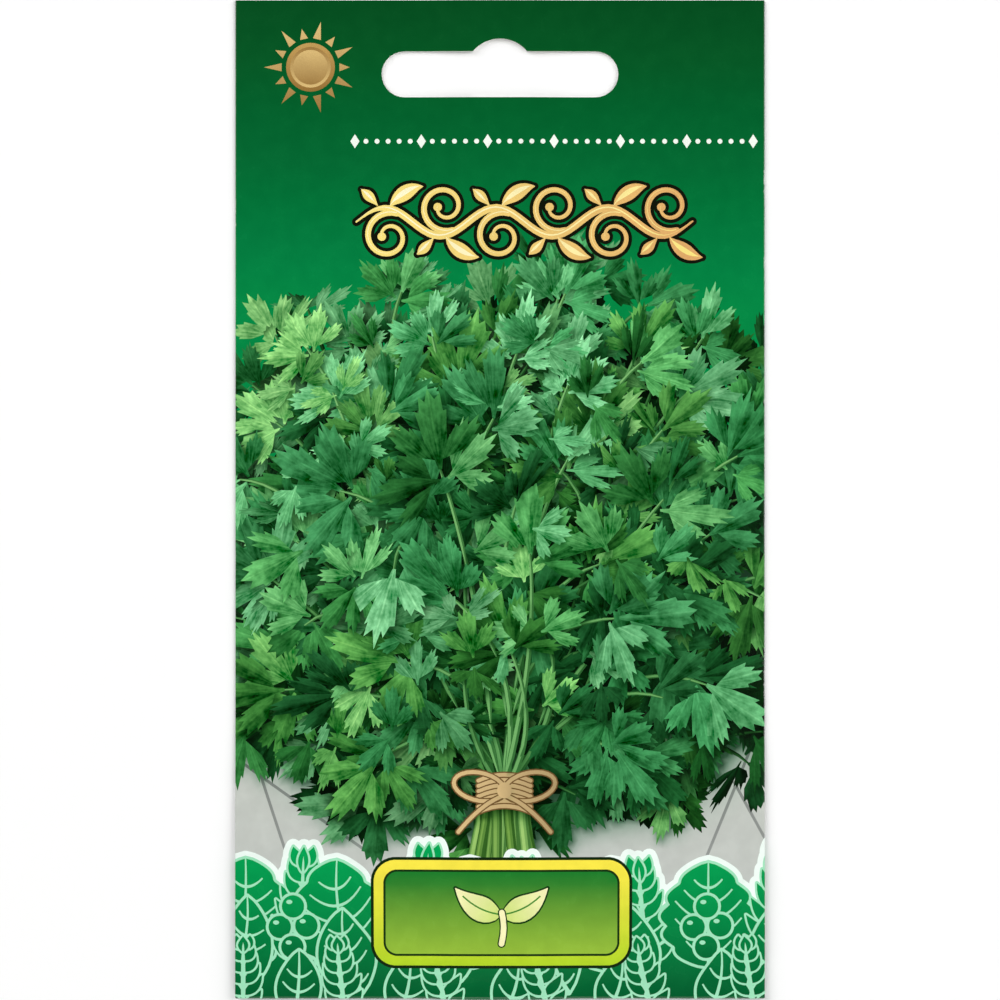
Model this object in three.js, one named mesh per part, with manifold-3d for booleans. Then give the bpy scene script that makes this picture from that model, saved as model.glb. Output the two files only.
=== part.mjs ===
// A seed packet lying on its back. One sheet of coated paper is folded round into a flat tube and glued where its
// two edges lap, up the middle of the back. The foot of the tube is turned up on to the back and glued, the head is
// glued shut and punched with a hang slot, and loose seeds lie inside.
// Millimetres, +Z up. X runs across the packet and +Y towards its head. The origin is on the surface, under the middle.
import * as THREE from "three";
import { mergeVertices } from "three/addons/utils/BufferGeometryUtils.js";
import Module from "manifold-3d";

const wasm = await Module();
wasm.setup();

// Packet
const WIDTH = 71.5;
const HEIGHT = 135;
const HEAD = 18; // glued zone under the cut top edge
const BULGE = 2.6; // most that the seeds hold the front away from the back
const BULGE_PEAK = 0.36; // where that is, as a share of the way from the foot to the head zone
const BULGE_START = 1.5; // from the bottom fold

// Sheet and adhesive
const PAPER = 0.12;
const PLY_GAP = 0.08; // between two plies that are glued to each other
const GLUE = 0.04;
const GLUE_INSET = 1; // from folds and edges
const PITCH = PAPER + PLY_GAP; // from the middle of one ply to the middle of the next

// Back seam: the right half of the back lies outside, the left half inside
const LAP = 8;
const LAP_EASE = 7; // over which the plies beside the lap come back together

// Bottom flap
const FLAP = 12;
const FLAP_CLEAR = 2; // from the flap's cut edge to where the back starts to come down
const BACK_EASE = 28; // over which the back comes down from the flap to the surface
const FOLD_ARC = 0.3; // radius at which the paper's length round the bottom fold is measured
const FOLD_INSIDE = PLY_GAP / 2;

// Hang slot: the common display slot, a bar with round ends and an arch in the middle of its upper edge
const SLOT_WIDTH = 32;
const SLOT_HEIGHT = 6.2;
const SLOT_ARCH = 4.8; // radius, about the middle of the bar
const SLOT_BELOW_TOP = 10; // from the cut top edge to the middle of the bar

// Seeds
const SEED_LENGTH = 2.8;
const SEED_WIDTH = 1.5;
const SEED_THICKNESS = 1.1;
const SEED_CLEAR = 0.12; // from a seed to the paper
const SEED_STEP = 4.9; // between seeds
const SEED_JITTER = 0.5;
const HEAP_HALF_X = 26;
const HEAP_HALF_Y = 34.5;
const HEAP_MIDDLE = 47; // from the bottom fold
const BED_HALF = 0.18; // half the thickness of the bed that the seeds are fused to, at its rim

// Worked out from those
const STACK = 3 * PAPER + 2 * PLY_GAP; // three plies, where the back laps
const FOLD_Y = -HEIGHT / 2 + FOLD_INSIDE + STACK; // the line where the sheet starts to turn under
const FOLD_HEIGHT = 2 * FOLD_INSIDE + STACK; // of the back above the surface, over the flap
const SIDE_FOLD = PITCH / 2; // radius at the middle of the paper
const SIDE_FOLD_X = WIDTH / 2 - SIDE_FOLD - PAPER / 2;
const TOP = HEIGHT / 2 - FOLD_Y; // from the bottom fold to the cut top edge
const HEAD_START = TOP - HEAD;
const FLAP_END = -Math.PI * FOLD_ARC - (FLAP - FOLD_INSIDE - STACK);
const SLOT_Y = HEIGHT / 2 - SLOT_BELOW_TOP;

const ease = (t) => {
  const c = THREE.MathUtils.clamp(t, 0, 1);
  return c * c * (3 - 2 * c);
};

// How far the plies over the lap stand up there, from 0 to 1. The inner half of the back keeps it up to its edge.
const overLap = (x) => 1 - ease((Math.abs(x) - LAP / 2) / LAP_EASE);
const innerHalf = (x) => 1 - ease((-LAP / 2 - x) / LAP_EASE);

// How far the seeds lift the front at x, and at s along the sheet from the bottom fold.
function bulge(x, s) {
  const t = (s - BULGE_START) / (HEAD_START - BULGE_START);
  if (t <= 0 || t >= 1) return 0;
  const along =
    t < BULGE_PEAK
      ? 1 - (1 - t / BULGE_PEAK) ** 2.2
      : (1 + Math.cos((Math.PI * (t - BULGE_PEAK)) / (1 - BULGE_PEAK))) / 2;
  return BULGE * along * Math.max(0, 1 - Math.abs(x / SIDE_FOLD_X) ** 2.4);
}

// Height of the back above the surface: it lies flat, but the flap holds it up at the foot.
const backHeight = (s) =>
  FOLD_HEIGHT * (1 - ease((s - FLAP - FLAP_CLEAR) / BACK_EASE));

// A point of the folded sheet: x across, s along the sheet from the bottom fold, h outwards from the back's outside.
// Past the fold the sheet turns under by half a circle and runs back up under itself.
function place(x, s, h) {
  if (s >= 0) return [x, FOLD_Y + s, backHeight(s) + h];
  const turn = Math.min(-s / FOLD_ARC, Math.PI);
  const along = Math.max(0, -s - Math.PI * FOLD_ARC);
  return [
    x,
    FOLD_Y - (FOLD_INSIDE + h) * Math.sin(turn) + along,
    FOLD_HEIGHT - FOLD_INSIDE + (FOLD_INSIDE + h) * Math.cos(turn),
  ];
}

// A closed solid of one ply. Each station is a function of s that gives the ply's middle (x, h) and its outward
// normal (nx, nh). Stations run so that a step to the next one, then a step up the sheet, turns towards the inside.
function plySolid(stations, rows, thickness) {
  const vertices = [];
  const index = [];
  for (const side of [0.5, -0.5])
    for (const station of stations)
      for (const s of rows) {
        const { x, h, nx = 0, nh } = station(s);
        const out = side * thickness;
        vertices.push(...place(x + out * nx, s, h + out * nh));
      }
  const outer = (i, j) => i * rows.length + j;
  const inner = (i, j) => (stations.length + i) * rows.length + j;
  const quad = (a, b, c, d) => index.push(a, b, c, a, c, d);
  const lastI = stations.length - 1;
  const lastJ = rows.length - 1;
  for (let i = 0; i < lastI; i++)
    for (let j = 0; j < lastJ; j++) {
      quad(outer(i, j), outer(i, j + 1), outer(i + 1, j + 1), outer(i + 1, j));
      quad(inner(i, j), inner(i + 1, j), inner(i + 1, j + 1), inner(i, j + 1));
    }
  for (let j = 0; j < lastJ; j++) {
    quad(outer(0, j + 1), outer(0, j), inner(0, j), inner(0, j + 1));
    quad(
      outer(lastI, j),
      outer(lastI, j + 1),
      inner(lastI, j + 1),
      inner(lastI, j),
    );
  }
  for (let i = 0; i < lastI; i++) {
    quad(outer(i, 0), outer(i + 1, 0), inner(i + 1, 0), inner(i, 0));
    quad(
      outer(i + 1, lastJ),
      outer(i, lastJ),
      inner(i, lastJ),
      inner(i + 1, lastJ),
    );
  }
  return new wasm.Manifold(
    new wasm.Mesh({
      numProp: 3,
      vertProperties: new Float32Array(vertices),
      triVerts: new Uint32Array(index),
    }),
  );
}

function solidOf(geometry) {
  const bare = geometry.clone();
  bare.deleteAttribute("normal");
  bare.deleteAttribute("uv");
  const merged = mergeVertices(bare);
  return new wasm.Manifold(
    new wasm.Mesh({
      numProp: 3,
      vertProperties: merged.attributes.position.array,
      triVerts: new Uint32Array(merged.index.array),
    }),
  );
}

function meshOf(name, solid, material) {
  const { numProp, vertProperties, triVerts } = solid.getMesh();
  const count = vertProperties.length / numProp;
  const position = new Float32Array(count * 3);
  for (let i = 0; i < count; i++)
    position.set(
      vertProperties.subarray(i * numProp, i * numProp + 3),
      i * 3,
    );
  const geometry = new THREE.BufferGeometry()
    .setAttribute("position", new THREE.BufferAttribute(position, 3))
    .setIndex(new THREE.BufferAttribute(triVerts, 1));
  geometry.computeVertexNormals();
  const mesh = new THREE.Mesh(geometry, material);
  mesh.name = name;
  return mesh;
}

// The punch that cuts the hang slot through every ply of the head.
function slotPunch() {
  const half = SLOT_HEIGHT / 2;
  const endX = SLOT_WIDTH / 2 - half;
  const archFrom = Math.asin(half / SLOT_ARCH);
  const shape = new THREE.Shape();
  shape.absarc(endX, 0, half, -Math.PI / 2, Math.PI / 2);
  shape.absarc(0, 0, SLOT_ARCH, archFrom, Math.PI - archFrom);
  shape.absarc(-endX, 0, half, Math.PI / 2, (3 * Math.PI) / 2);
  const depth = 4;
  const punch = new THREE.ExtrudeGeometry(shape, {
    depth,
    bevelEnabled: false,
    curveSegments: 10,
  });
  return solidOf(punch.translate(0, SLOT_Y, -depth / 2));
}

const both = (list) => [...list.map((v) => -v).reverse(), 0, ...list];
const lapSteps = [LAP / 2, LAP / 2 + LAP_EASE / 3, LAP / 2 + (2 * LAP_EASE) / 3, LAP / 2 + LAP_EASE];

// Rows up the sheet, closer together round the bottom fold and where the back comes down.
const foldRows = Array.from(
  { length: 7 },
  (_, i) => -Math.PI * FOLD_ARC * (1 - i / 6),
);
const pouchRows = [1.5, 4, 8, 14, 19, 24, 28, 32, 37, 42, 48, 55, 62, 70, 78, 86, 94, 102, 109];
const sheetRows = [FLAP_END, ...foldRows, ...pouchRows, HEAD_START, TOP];

// The whole sheet, from its outer edge at the lap, round the right fold, the front and the left fold, to its inner
// edge at the lap.
function packetSheet(punch) {
  const flat = [15, 19, 23, 27, 30.5, 33.5];
  const right = (x) => () => ({ x, h: PAPER / 2, nh: -1 });
  const left = (x) => () => ({
    x,
    h: PAPER / 2 + PITCH * innerHalf(x),
    nh: -1,
  });
  const front = (x) => (s) => ({
    x,
    h: PAPER / 2 + PITCH * (1 + overLap(x)) + bulge(x, s),
    nh: 1,
  });
  const sideFold = (side, angle) => () => ({
    x: side * (SIDE_FOLD_X + SIDE_FOLD * Math.cos(angle)),
    h: PAPER / 2 + SIDE_FOLD + SIDE_FOLD * Math.sin(angle),
    nx: side * Math.cos(angle),
    nh: Math.sin(angle),
  });
  const turn = [-2, -1, 0, 1, 2].map((k) => (k * Math.PI) / 4);
  const frontX = both([...lapSteps, ...flat]).reverse();
  const stations = [
    ...[-LAP / 2, LAP / 2, 11, 20, 28].map(right),
    ...turn.map((angle) => sideFold(1, angle)),
    ...frontX.map(front),
    ...turn.map((angle) => sideFold(-1, angle)).reverse(),
    ...[-28, -20, ...lapSteps.map((x) => -x).reverse(), LAP / 2].map(left),
  ];
  return plySolid(stations, sheetRows, PAPER).subtract(punch);
}

// A film of adhesive over a list of x, with its middle at height(x).
const film = (xs, rows, height) =>
  plySolid(
    xs.map((x) => () => ({ x, h: height(x), nh: -1 })),
    rows,
    GLUE,
  );

function headGlue(punch) {
  const xs = both([...lapSteps, 20, SIDE_FOLD_X - GLUE_INSET]);
  const underFront = (x) => PAPER + PLY_GAP / 2 + PITCH * overLap(x);
  return film(xs, [HEAD_START, TOP - GLUE_INSET / 2], underFront).subtract(
    punch,
  );
}

// The seam's adhesive lies between the two halves of the back. The slot parts it in two.
const seamHalf = LAP / 2 - GLUE_INSET / 2;
const seamFilm = (rows, punch) =>
  film([-seamHalf, 0, seamHalf], rows, () => PAPER + PLY_GAP / 2).subtract(
    punch,
  );
const slotMiddle = TOP - SLOT_BELOW_TOP;
const seamRows = [FLAP_END + GLUE_INSET / 2, ...foldRows, ...pouchRows];

function flapGlue() {
  const half = SIDE_FOLD_X - GLUE_INSET;
  return film(
    [-half, half],
    [GLUE_INSET, FLAP - GLUE_INSET],
    () => -FOLD_INSIDE,
  );
}

// Room between the back and the front for seeds, and the height of its middle.
const room = (x, s) => bulge(x, s) + PITCH * overLap(x) - PAPER;
const roomMiddle = (x, s) => PAPER + PITCH + room(x, s) / 2;

// A thin bed through the middle of the heap, which all the seeds are fused to.
function seedBed() {
  const around = 32;
  const rings = 5;
  const vertices = [];
  const index = [];
  const ringPoint = (k, ring, side) => {
    const angle = (2 * Math.PI * k) / around;
    const reach = ring / rings;
    const x = HEAP_HALF_X * reach * Math.cos(angle);
    const s = HEAP_MIDDLE + HEAP_HALF_Y * reach * Math.sin(angle);
    const half = Math.max(BED_HALF, room(x, s) / 2 - 0.75);
    return place(x, s, roomMiddle(x, s) + side * half);
  };
  for (const side of [1, -1]) {
    vertices.push(...ringPoint(0, 0, side));
    for (let ring = 1; ring <= rings; ring++)
      for (let k = 0; k < around; k++)
        vertices.push(...ringPoint(k, ring, side));
  }
  const perSide = 1 + rings * around;
  const at = (side, ring, k) =>
    side * perSide + 1 + (ring - 1) * around + (k % around);
  for (let k = 0; k < around; k++) {
    index.push(0, at(0, 1, k), at(0, 1, k + 1));
    index.push(perSide, at(1, 1, k + 1), at(1, 1, k));
    for (let ring = 1; ring < rings; ring++) {
      const [a, b, c, d] = [at(0, ring, k), at(0, ring + 1, k), at(0, ring + 1, k + 1), at(0, ring, k + 1)];
      index.push(a, b, c, a, c, d);
      const [e, f, g, h] = [a, b, c, d].map((v) => v + perSide);
      index.push(e, g, f, e, h, g);
    }
    const [top, topNext, low, lowNext] = [
      at(0, rings, k),
      at(0, rings, k + 1),
      at(1, rings, k),
      at(1, rings, k + 1),
    ];
    index.push(top, low, lowNext, top, lowNext, topNext);
  }
  return new wasm.Manifold(
    new wasm.Mesh({
      numProp: 3,
      vertProperties: new Float32Array(vertices),
      triVerts: new Uint32Array(index),
    }),
  );
}

// The same draws on every run.
function seededRandom(seed) {
  let state = seed;
  return () => {
    state = (Math.imul(state, 1664525) + 1013904223) >>> 0;
    return state / 2 ** 32;
  };
}

// Seeds in staggered rows over the heap, by turns in the upper and the lower layer, each turned at random.
function seedHeap() {
  const random = seededRandom(7);
  const seed = new THREE.SphereGeometry(0.5, 5, 3);
  const pieces = [seedBed()];
  const rowStep = (SEED_STEP * Math.sqrt(3)) / 2;
  const rows = Math.floor(HEAP_HALF_Y / rowStep);
  const columns = Math.floor(HEAP_HALF_X / SEED_STEP);
  for (let row = -rows; row <= rows; row++)
    for (let column = -columns; column <= columns; column++) {
      const shift = row % 2 ? SEED_STEP / 2 : 0;
      const x = column * SEED_STEP + shift + SEED_JITTER * (2 * random() - 1);
      const s =
        HEAP_MIDDLE + row * rowStep + SEED_JITTER * (2 * random() - 1);
      const turn = 2 * Math.PI * random();
      const reach = SEED_LENGTH / 2;
      const inside = Math.hypot(
        (Math.abs(x) + reach / 2) / HEAP_HALF_X,
        (Math.abs(s - HEAP_MIDDLE) + reach / 2) / HEAP_HALF_Y,
      );
      const least = Math.min(
        ...[-1, 1].flatMap((dx) =>
          [-1, 1].map((ds) => room(x + (dx * reach) / 2, s + ds * reach)),
        ),
      );
      if (inside > 1 || least < SEED_THICKNESS + 2 * SEED_CLEAR) continue;
      const side = (row + column) % 2 ? 1 : -1;
      const lift = Math.min(
        least / 2 - SEED_CLEAR - SEED_THICKNESS / 2,
        SEED_THICKNESS / 2,
      );
      const [px, py, pz] = place(x, s, roomMiddle(x, s) + side * lift);
      pieces.push(
        solidOf(
          seed
            .clone()
            .scale(SEED_WIDTH, SEED_LENGTH, SEED_THICKNESS)
            .rotateZ(turn)
            .translate(px, py, pz),
        ),
      );
    }
  return wasm.Manifold.union(pieces);
}

const coatedPaper = new THREE.MeshStandardMaterial({
  color: 0x0b7a3c,
  roughness: 0.35,
});
const adhesive = new THREE.MeshStandardMaterial({
  color: 0xe8e2cf,
  roughness: 0.6,
});
const seedSkin = new THREE.MeshStandardMaterial({
  color: 0x8a7550,
  roughness: 0.8,
});

const punch = slotPunch();
const packet = new THREE.Group();
packet.add(
  meshOf("packet_sheet", packetSheet(punch), coatedPaper),
  meshOf("head_glue", headGlue(punch), adhesive),
  meshOf(
    "seam_glue",
    seamFilm([...seamRows, HEAD_START, slotMiddle], punch),
    adhesive,
  ),
  meshOf(
    "seam_glue_over_slot",
    seamFilm([slotMiddle, TOP - GLUE_INSET / 2], punch),
    adhesive,
  ),
  meshOf("flap_glue", flapGlue(), adhesive),
  meshOf("seeds", seedHeap(), seedSkin),
);

export default packet;
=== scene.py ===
import bpy
import numpy as np
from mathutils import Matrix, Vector
from mathutils.geometry import delaunay_2d_cdt


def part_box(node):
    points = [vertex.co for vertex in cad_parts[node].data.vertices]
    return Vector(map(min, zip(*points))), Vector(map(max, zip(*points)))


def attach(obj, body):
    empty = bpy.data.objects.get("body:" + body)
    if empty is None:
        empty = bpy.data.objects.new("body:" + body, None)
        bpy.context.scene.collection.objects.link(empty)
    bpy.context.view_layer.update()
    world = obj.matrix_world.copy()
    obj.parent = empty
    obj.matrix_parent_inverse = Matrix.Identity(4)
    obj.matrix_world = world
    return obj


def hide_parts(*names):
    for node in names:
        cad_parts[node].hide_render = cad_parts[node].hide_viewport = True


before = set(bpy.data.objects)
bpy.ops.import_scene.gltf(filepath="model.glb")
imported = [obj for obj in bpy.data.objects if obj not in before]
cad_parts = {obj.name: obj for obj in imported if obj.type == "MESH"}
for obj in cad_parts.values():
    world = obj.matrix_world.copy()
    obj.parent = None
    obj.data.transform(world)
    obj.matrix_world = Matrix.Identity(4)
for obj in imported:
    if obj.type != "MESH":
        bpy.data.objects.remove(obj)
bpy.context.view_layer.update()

# The folded sheet. One piece of coated paper goes round the pouch and laps up the middle of the back, and
# its foot is turned up on to the back. Every length is in millimetres, and MM turns it into Blender's metres.
MM = 0.001
low, high = (Vector(corner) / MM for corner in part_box("packet_sheet"))
WIDTH, HEIGHT = high.x - low.x, high.y - low.y
HEAD = 18
BULGE, BULGE_PEAK, BULGE_START = 2.6, 0.36, 1.5
FOOT_POWER, SIDE_POWER = 2.2, 2.4               # of the bulge's curves up from the foot and in from the sides
PAPER, PLY_GAP = 0.12, 0.08
PITCH = PAPER + PLY_GAP
LAP, LAP_EASE = 8, 7
FLAP, FLAP_CLEAR = 12, 2
BACK_EASE = 28
FOLD_ARC = 0.3
FOLD_INSIDE = PLY_GAP / 2
STACK = 3 * PAPER + 2 * PLY_GAP
FOLD_Y = -HEIGHT / 2 + FOLD_INSIDE + STACK
FOLD_HEIGHT = 2 * FOLD_INSIDE + STACK
SIDE_FOLD = PITCH / 2
FRONT = WIDTH / 2 - SIDE_FOLD - PAPER / 2       # from the middle of the front to where its side folds start
FOLD_RUN = np.pi * SIDE_FOLD
GIRTH = 2 * FRONT + FOLD_RUN + LAP / 2          # from the middle of the front to the sheet's side edge
TOP = HEIGHT / 2 - FOLD_Y
HEAD_START = TOP - HEAD
FLAP_END = -np.pi * FOLD_ARC - (FLAP - FOLD_INSIDE - STACK)
RIPPLE = 0.11
SIDE_WAVE = 15.5
CREASE_FOOT, CREASE_SLOPE, CREASE_HALF, CREASE_FADE = 6, 1.55, 2.6, 30


def ease(t):
    """Smooth step: 0 below 0, 1 above 1 and 3 t^2 - 2 t^3 between."""
    t = np.clip(t, 0, 1)
    return t * t * (3 - 2 * t)


def over_lap(x):
    """How far the front stands up over the back's lap, from 0 to 1."""
    return 1 - ease((np.abs(x) - LAP / 2) / LAP_EASE)


def inner_ply(x):
    """How far the back's inner half stands up on its outer half, from 0 to 1."""
    return 1 - ease((-LAP / 2 - x) / LAP_EASE)


def over_flap(s):
    """How far the turned-up foot lifts what lies over it, in mm."""
    return FOLD_HEIGHT * (1 - ease((s - FLAP - FLAP_CLEAR) / BACK_EASE))


def bulge(x, s):
    """How far the seeds lift the front: a power curve up from the foot, half a cosine down to the head, and
    across the packet 1 - |x|^SIDE_POWER."""
    t = np.clip((s - BULGE_START) / (HEAD_START - BULGE_START), 0, 1)
    foot = 1 - np.maximum(1 - t / BULGE_PEAK, 0) ** FOOT_POWER
    head = (1 + np.cos(np.pi * np.maximum(t - BULGE_PEAK, 0) / (1 - BULGE_PEAK))) / 2
    along = np.where(t < BULGE_PEAK, foot, head)
    return BULGE * along * np.maximum(0, 1 - np.abs(x / FRONT) ** SIDE_POWER)


def ripple(x, s):
    """Shallow buckles that a flat tube of paper gets when it is filled: waves across each side, which die out
    towards the middle, and two long creases that run up from the foot's corners."""
    held = np.sqrt(bulge(x, s) / BULGE)
    side = np.abs(x) / FRONT
    phase = 2 * np.pi * s / SIDE_WAVE + 1.7 * np.sin(s / 21) + np.where(x > 0, 0.6, 2.4)
    waves = np.sin(phase) * side ** 3
    run = s - CREASE_FOOT - CREASE_SLOPE * (FRONT - np.abs(x))
    creases = np.exp(-(run / CREASE_HALF) ** 2) * np.exp(-s / CREASE_FADE)
    drift = 0.6 * np.sin(x / 9.5 + s / 23) * np.sin(s / 14 - x / 31)
    return RIPPLE * held * (waves + 1.3 * creases + drift)


def folded(g, s, out):
    """Where a point of the flat sheet lies once folded. g runs along the girth from the middle of the front,
    s up from the bottom fold, and out is the distance from the middle of the paper. Between the side folds
    x = g. Each side fold is half a circle, and past it the back runs towards the lap. Below s = 0 the sheet
    turns under by half a circle and runs back up under itself."""
    side, a = np.sign(g), np.abs(g)
    angle = np.pi / 2 - np.clip(a - FRONT, 0, FOLD_RUN) / SIDE_FOLD
    past = np.maximum(a - FRONT - FOLD_RUN, 0)
    x = side * (np.minimum(a, FRONT) - past + (SIDE_FOLD + out) * np.cos(angle) * (a > FRONT) * (past == 0))
    front = PAPER / 2 + PITCH * (1 + over_lap(x)) + bulge(x, s) + ripple(x, s) + out
    fold = PAPER / 2 + SIDE_FOLD + (SIDE_FOLD + out) * np.sin(angle)
    back = PAPER / 2 + PITCH * inner_ply(x) * (side < 0) - out
    h = np.where(a <= FRONT, front, np.where(past == 0, fold, back))
    turn = np.clip(-s / FOLD_ARC, 0, np.pi)
    under = np.maximum(0, -s - np.pi * FOLD_ARC)
    y = np.where(s >= 0, FOLD_Y + s, FOLD_Y - (FOLD_INSIDE + h) * np.sin(turn) + under)
    z = np.where(s >= 0, over_flap(s) + h, FOLD_HEIGHT - FOLD_INSIDE + (FOLD_INSIDE + h) * np.cos(turn))
    return np.stack([x, y, z], -1)


# The printed artwork, laid down in order on the flat sheet as outlines in mm, each with an ink that may fade
# along one direction. A leaf also has a plane in the picture's depth, which its shading is worked out from.
FRONT_EDGE = FRONT + FOLD_RUN + 2.2             # where the front's picture ends, just round the side fold
PIXEL = HEIGHT / 1000                           # of the photograph, whose height the packet fills
shapes = []
random = np.random.default_rng(23)


def ink(red, green, blue):
    """An ink's linear colour from its screen values."""
    c = np.array([red, green, blue]) / 255
    return np.where(c <= 0.04045, c / 12.92, ((c + 0.055) / 1.055) ** 2.4)


def lay(outline, tint, fade=None, start=(0, 0), end=(0, 1), leaf=None):
    """Lays a shape over those before it, in tint at start and in fade at end."""
    shapes.append(dict(outline=np.asarray(outline, float), tint=tint, fade=tint if fade is None else fade,
                       start=start, end=end, leaf=leaf))


def level(depth, **more):
    """What a leaf needs where it lies level in the picture, at that depth in mm."""
    return {"depth": (depth, 0, 0), **more}


def toward(a):
    """The direction at angle a."""
    return np.stack([np.cos(a), np.sin(a)], -1)


def oval(x, s, half_x, half_s, count=24):
    """Points round an ellipse."""
    a = 2 * np.pi * np.arange(count) / count
    return toward(a) * (half_x, half_s) + (x, s)


def squared_off(a, power):
    """How far a square with rounded sides reaches at angle a: (|cos a|^power + |sin a|^power)^(-1/power)."""
    return (np.abs(np.cos(a)) ** power + np.abs(np.sin(a)) ** power) ** (-1 / power)


def block(x0, x1, s0, s1):
    """A rectangle's corners."""
    return np.array([(x0, s0), (x1, s0), (x1, s1), (x0, s1)])


def unit(v):
    """v at length 1."""
    return v / np.linalg.norm(v, axis=-1, keepdims=True)


def bent(a, b, c, t):
    """The curve from a to c that b draws aside: (1-t)^2 a + 2t(1-t) b + t^2 c."""
    return (1 - t) ** 2 * a + 2 * t * (1 - t) * b + t ** 2 * c


def swell(t, power=0.85):
    """A leaf's width along it, sin(pi t^power)."""
    return np.sin(np.pi * t ** power)


def line(path, width, capped=False):
    """The outline of a line drawn along path: its points moved half the width to either side, across the
    path, and taken round half a circle at both ends if it is capped."""
    path = np.asarray(path, float)
    ahead = unit(np.gradient(path, axis=0))
    across = np.stack([-ahead[:, 1], ahead[:, 0]], -1)
    half = (np.broadcast_to(width, len(path)) / 2)[:, None]
    near, far = path - half * across, path + half * across
    if not capped:
        return np.concatenate([near, far[::-1]])
    a = np.linspace(0, np.pi, 8)[1:-1, None]
    cap, heel = (path[i] + turn * half[i] * (ahead[i] * np.sin(a) - across[i] * np.cos(a))
                 for i, turn in ((-1, 1), (0, -1)))
    return np.concatenate([near, cap, far[::-1], heel])


# The ground behind the picture, which is painted where no shape lies. It is one green up to the foot of the
# scroll and gets darker from there to the head.
GROUND_ROWS = ((1000, (2, 134, 67)), (300, (2, 134, 67)), (270, (1, 128, 65)), (240, (1, 121, 61)),
               (200, (0, 112, 54)), (160, (2, 103, 49)), (110, (1, 95, 43)), (60, (4, 86, 36)),
               (5, (3, 76, 30)))
GROUND_AT = TOP - PIXEL * np.array([row for row, _ in GROUND_ROWS])
GROUND = np.array([ink(*screen) for _, screen in GROUND_ROWS])

# The pale slab that the bunch lies on, printed with four joints, and the dark of the bunch's heart. The slab
# fades into the green ground behind it.
SLAB_TOP, SLAB_FOOT, SLAB_FAR = 52, 12, 72
SLAB_PALE = ink(202, 207, 197)
SLAB_JOINTS = ([(-37, 33), (-14, 17)], [(37, 19), (31.5, 29)], [(37, 41), (27, 17)], [(-37, 44), (-28, 17)])
lay(block(-FRONT_EDGE, FRONT_EDGE, SLAB_TOP, SLAB_FAR), SLAB_PALE * 0.8, ink(16, 120, 62),
    (0, SLAB_TOP), (0, SLAB_FAR), leaf=level(-9.0))
lay(block(-FRONT_EDGE, FRONT_EDGE, SLAB_FOOT, SLAB_TOP), SLAB_PALE * 0.95, ink(194, 198, 192),
    (0, 40), (0, 16), leaf=level(-5.0))
for joint in SLAB_JOINTS:
    lay(line(joint, 0.4), ink(120, 124, 118), ink(150, 154, 150), (0, 40), (0, 16), leaf=level(-5.0))
HEART, HEART_HALF, HEART_POWER = (0, 62), np.array([34.5, 31]), 2.6
a = np.linspace(0, 2 * np.pi, 90, endpoint=False)
reach = squared_off(a, HEART_POWER) * (0.9 + 0.035 * np.sin(9 * a) + 0.03 * np.sin(23 * a + 1))
lay(HEART_HALF * reach[:, None] * toward(a) + HEART, ink(12, 50, 20), leaf=level(-6.0))

# The bunch. Each sprig is a stalk with five leaflets, placed over the bunch by a sunflower spiral in four
# layers, and turned out from its heart. A leaflet is a fan of three lobes with five teeth each, set in space
# and seen from above.
BUNCH_HALF = (41, 37.5)
BUNCH_MIDDLE = (0, 60.5)
BUNCH_POWER = 2.5
DOME = 11                                       # how high the bunch rises in its middle, in mm
GOLDEN_TURN = 2.399963                          # between one sprig and the next, in radians
TIE = (0.6, 28.0)                               # where the stalks are tied
STALK_ROOM = (9.5, 44)                          # half width and top of what front leaves leave the stalks
LIGHT = np.array([-0.42, 0.58, 0.70])
LOBE_ANGLE, TOOTH_ANGLE = np.radians(40), np.radians(7.4)
LAYERS = (                                      # sprigs, depth, leaflet length, shade, spread, first turn
    (66, -4.6, 9.6, 0.34, 1.02, 0.3),
    (62, -1.8, 10.0, 0.58, 1.00, 1.9),
    (54, 1.2, 10.4, 0.84, 0.97, 4.1),
    (40, 4.0, 11.0, 1.02, 0.88, 5.3),
)
LEAFLETS = (                                    # degrees from the stalk, place along and across it, size
    (0, 0.10, 0.0, 1.00), (58, -0.02, 0.05, 0.86), (-58, -0.02, -0.05, 0.86),
    (74, -0.92, 0.06, 0.68), (-74, -0.92, -0.06, 0.68))
TOOTH_REACH = np.array([0.76, 0.92, 1, 0.92, 0.76])             # of each lobe's five teeth
NOTCH_REACH = np.tile([0.99, 0.92, 0.92, 0.99, 0.62], 3)[:14]   # of the notches, as a share of those


def leaflet_outline(count):
    """count leaflets as polar outlines about their base, each along +y and 1 long. Fifteen teeth stand on
    three lobes, with shallow notches between them and a deep one between two lobes."""
    lobe, tooth = np.repeat([-1, 0, 1], 5), np.tile([-2, -1, 0, 1, 2], 3)
    tip_angle = LOBE_ANGLE * lobe + TOOTH_ANGLE * tooth + random.normal(0, 0.02, (count, 15))
    tip = (1 - 0.2 * np.abs(lobe)) * np.tile(TOOTH_REACH, 3) * random.uniform(0.93, 1.05, (count, 15))
    notch_angle = (tip_angle[:, 1:] + tip_angle[:, :-1]) / 2
    notch = np.minimum(tip[:, 1:], tip[:, :-1]) * NOTCH_REACH * random.uniform(0.93, 1.02, (count, 14))
    first = np.full((count, 1), -LOBE_ANGLE - 2.3 * TOOTH_ANGLE)
    angles, radii = np.empty((2, count, 31))
    angles[:, 1::2], radii[:, 1::2] = tip_angle, tip
    angles[:, ::2] = np.concatenate([first, notch_angle, -first], 1)
    radii[:, ::2] = np.concatenate([tip[:, :1] * 0.66, notch, tip[:, -1:] * 0.66], 1)
    fan = np.stack([radii * np.sin(angles), radii * np.cos(angles)], -1)
    neck = np.array([(0.045, 0.12), (0.02, 0), (-0.02, 0), (-0.045, 0.12)])
    return np.concatenate([fan, np.broadcast_to(neck, (count, 4, 2))], 1)


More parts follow.
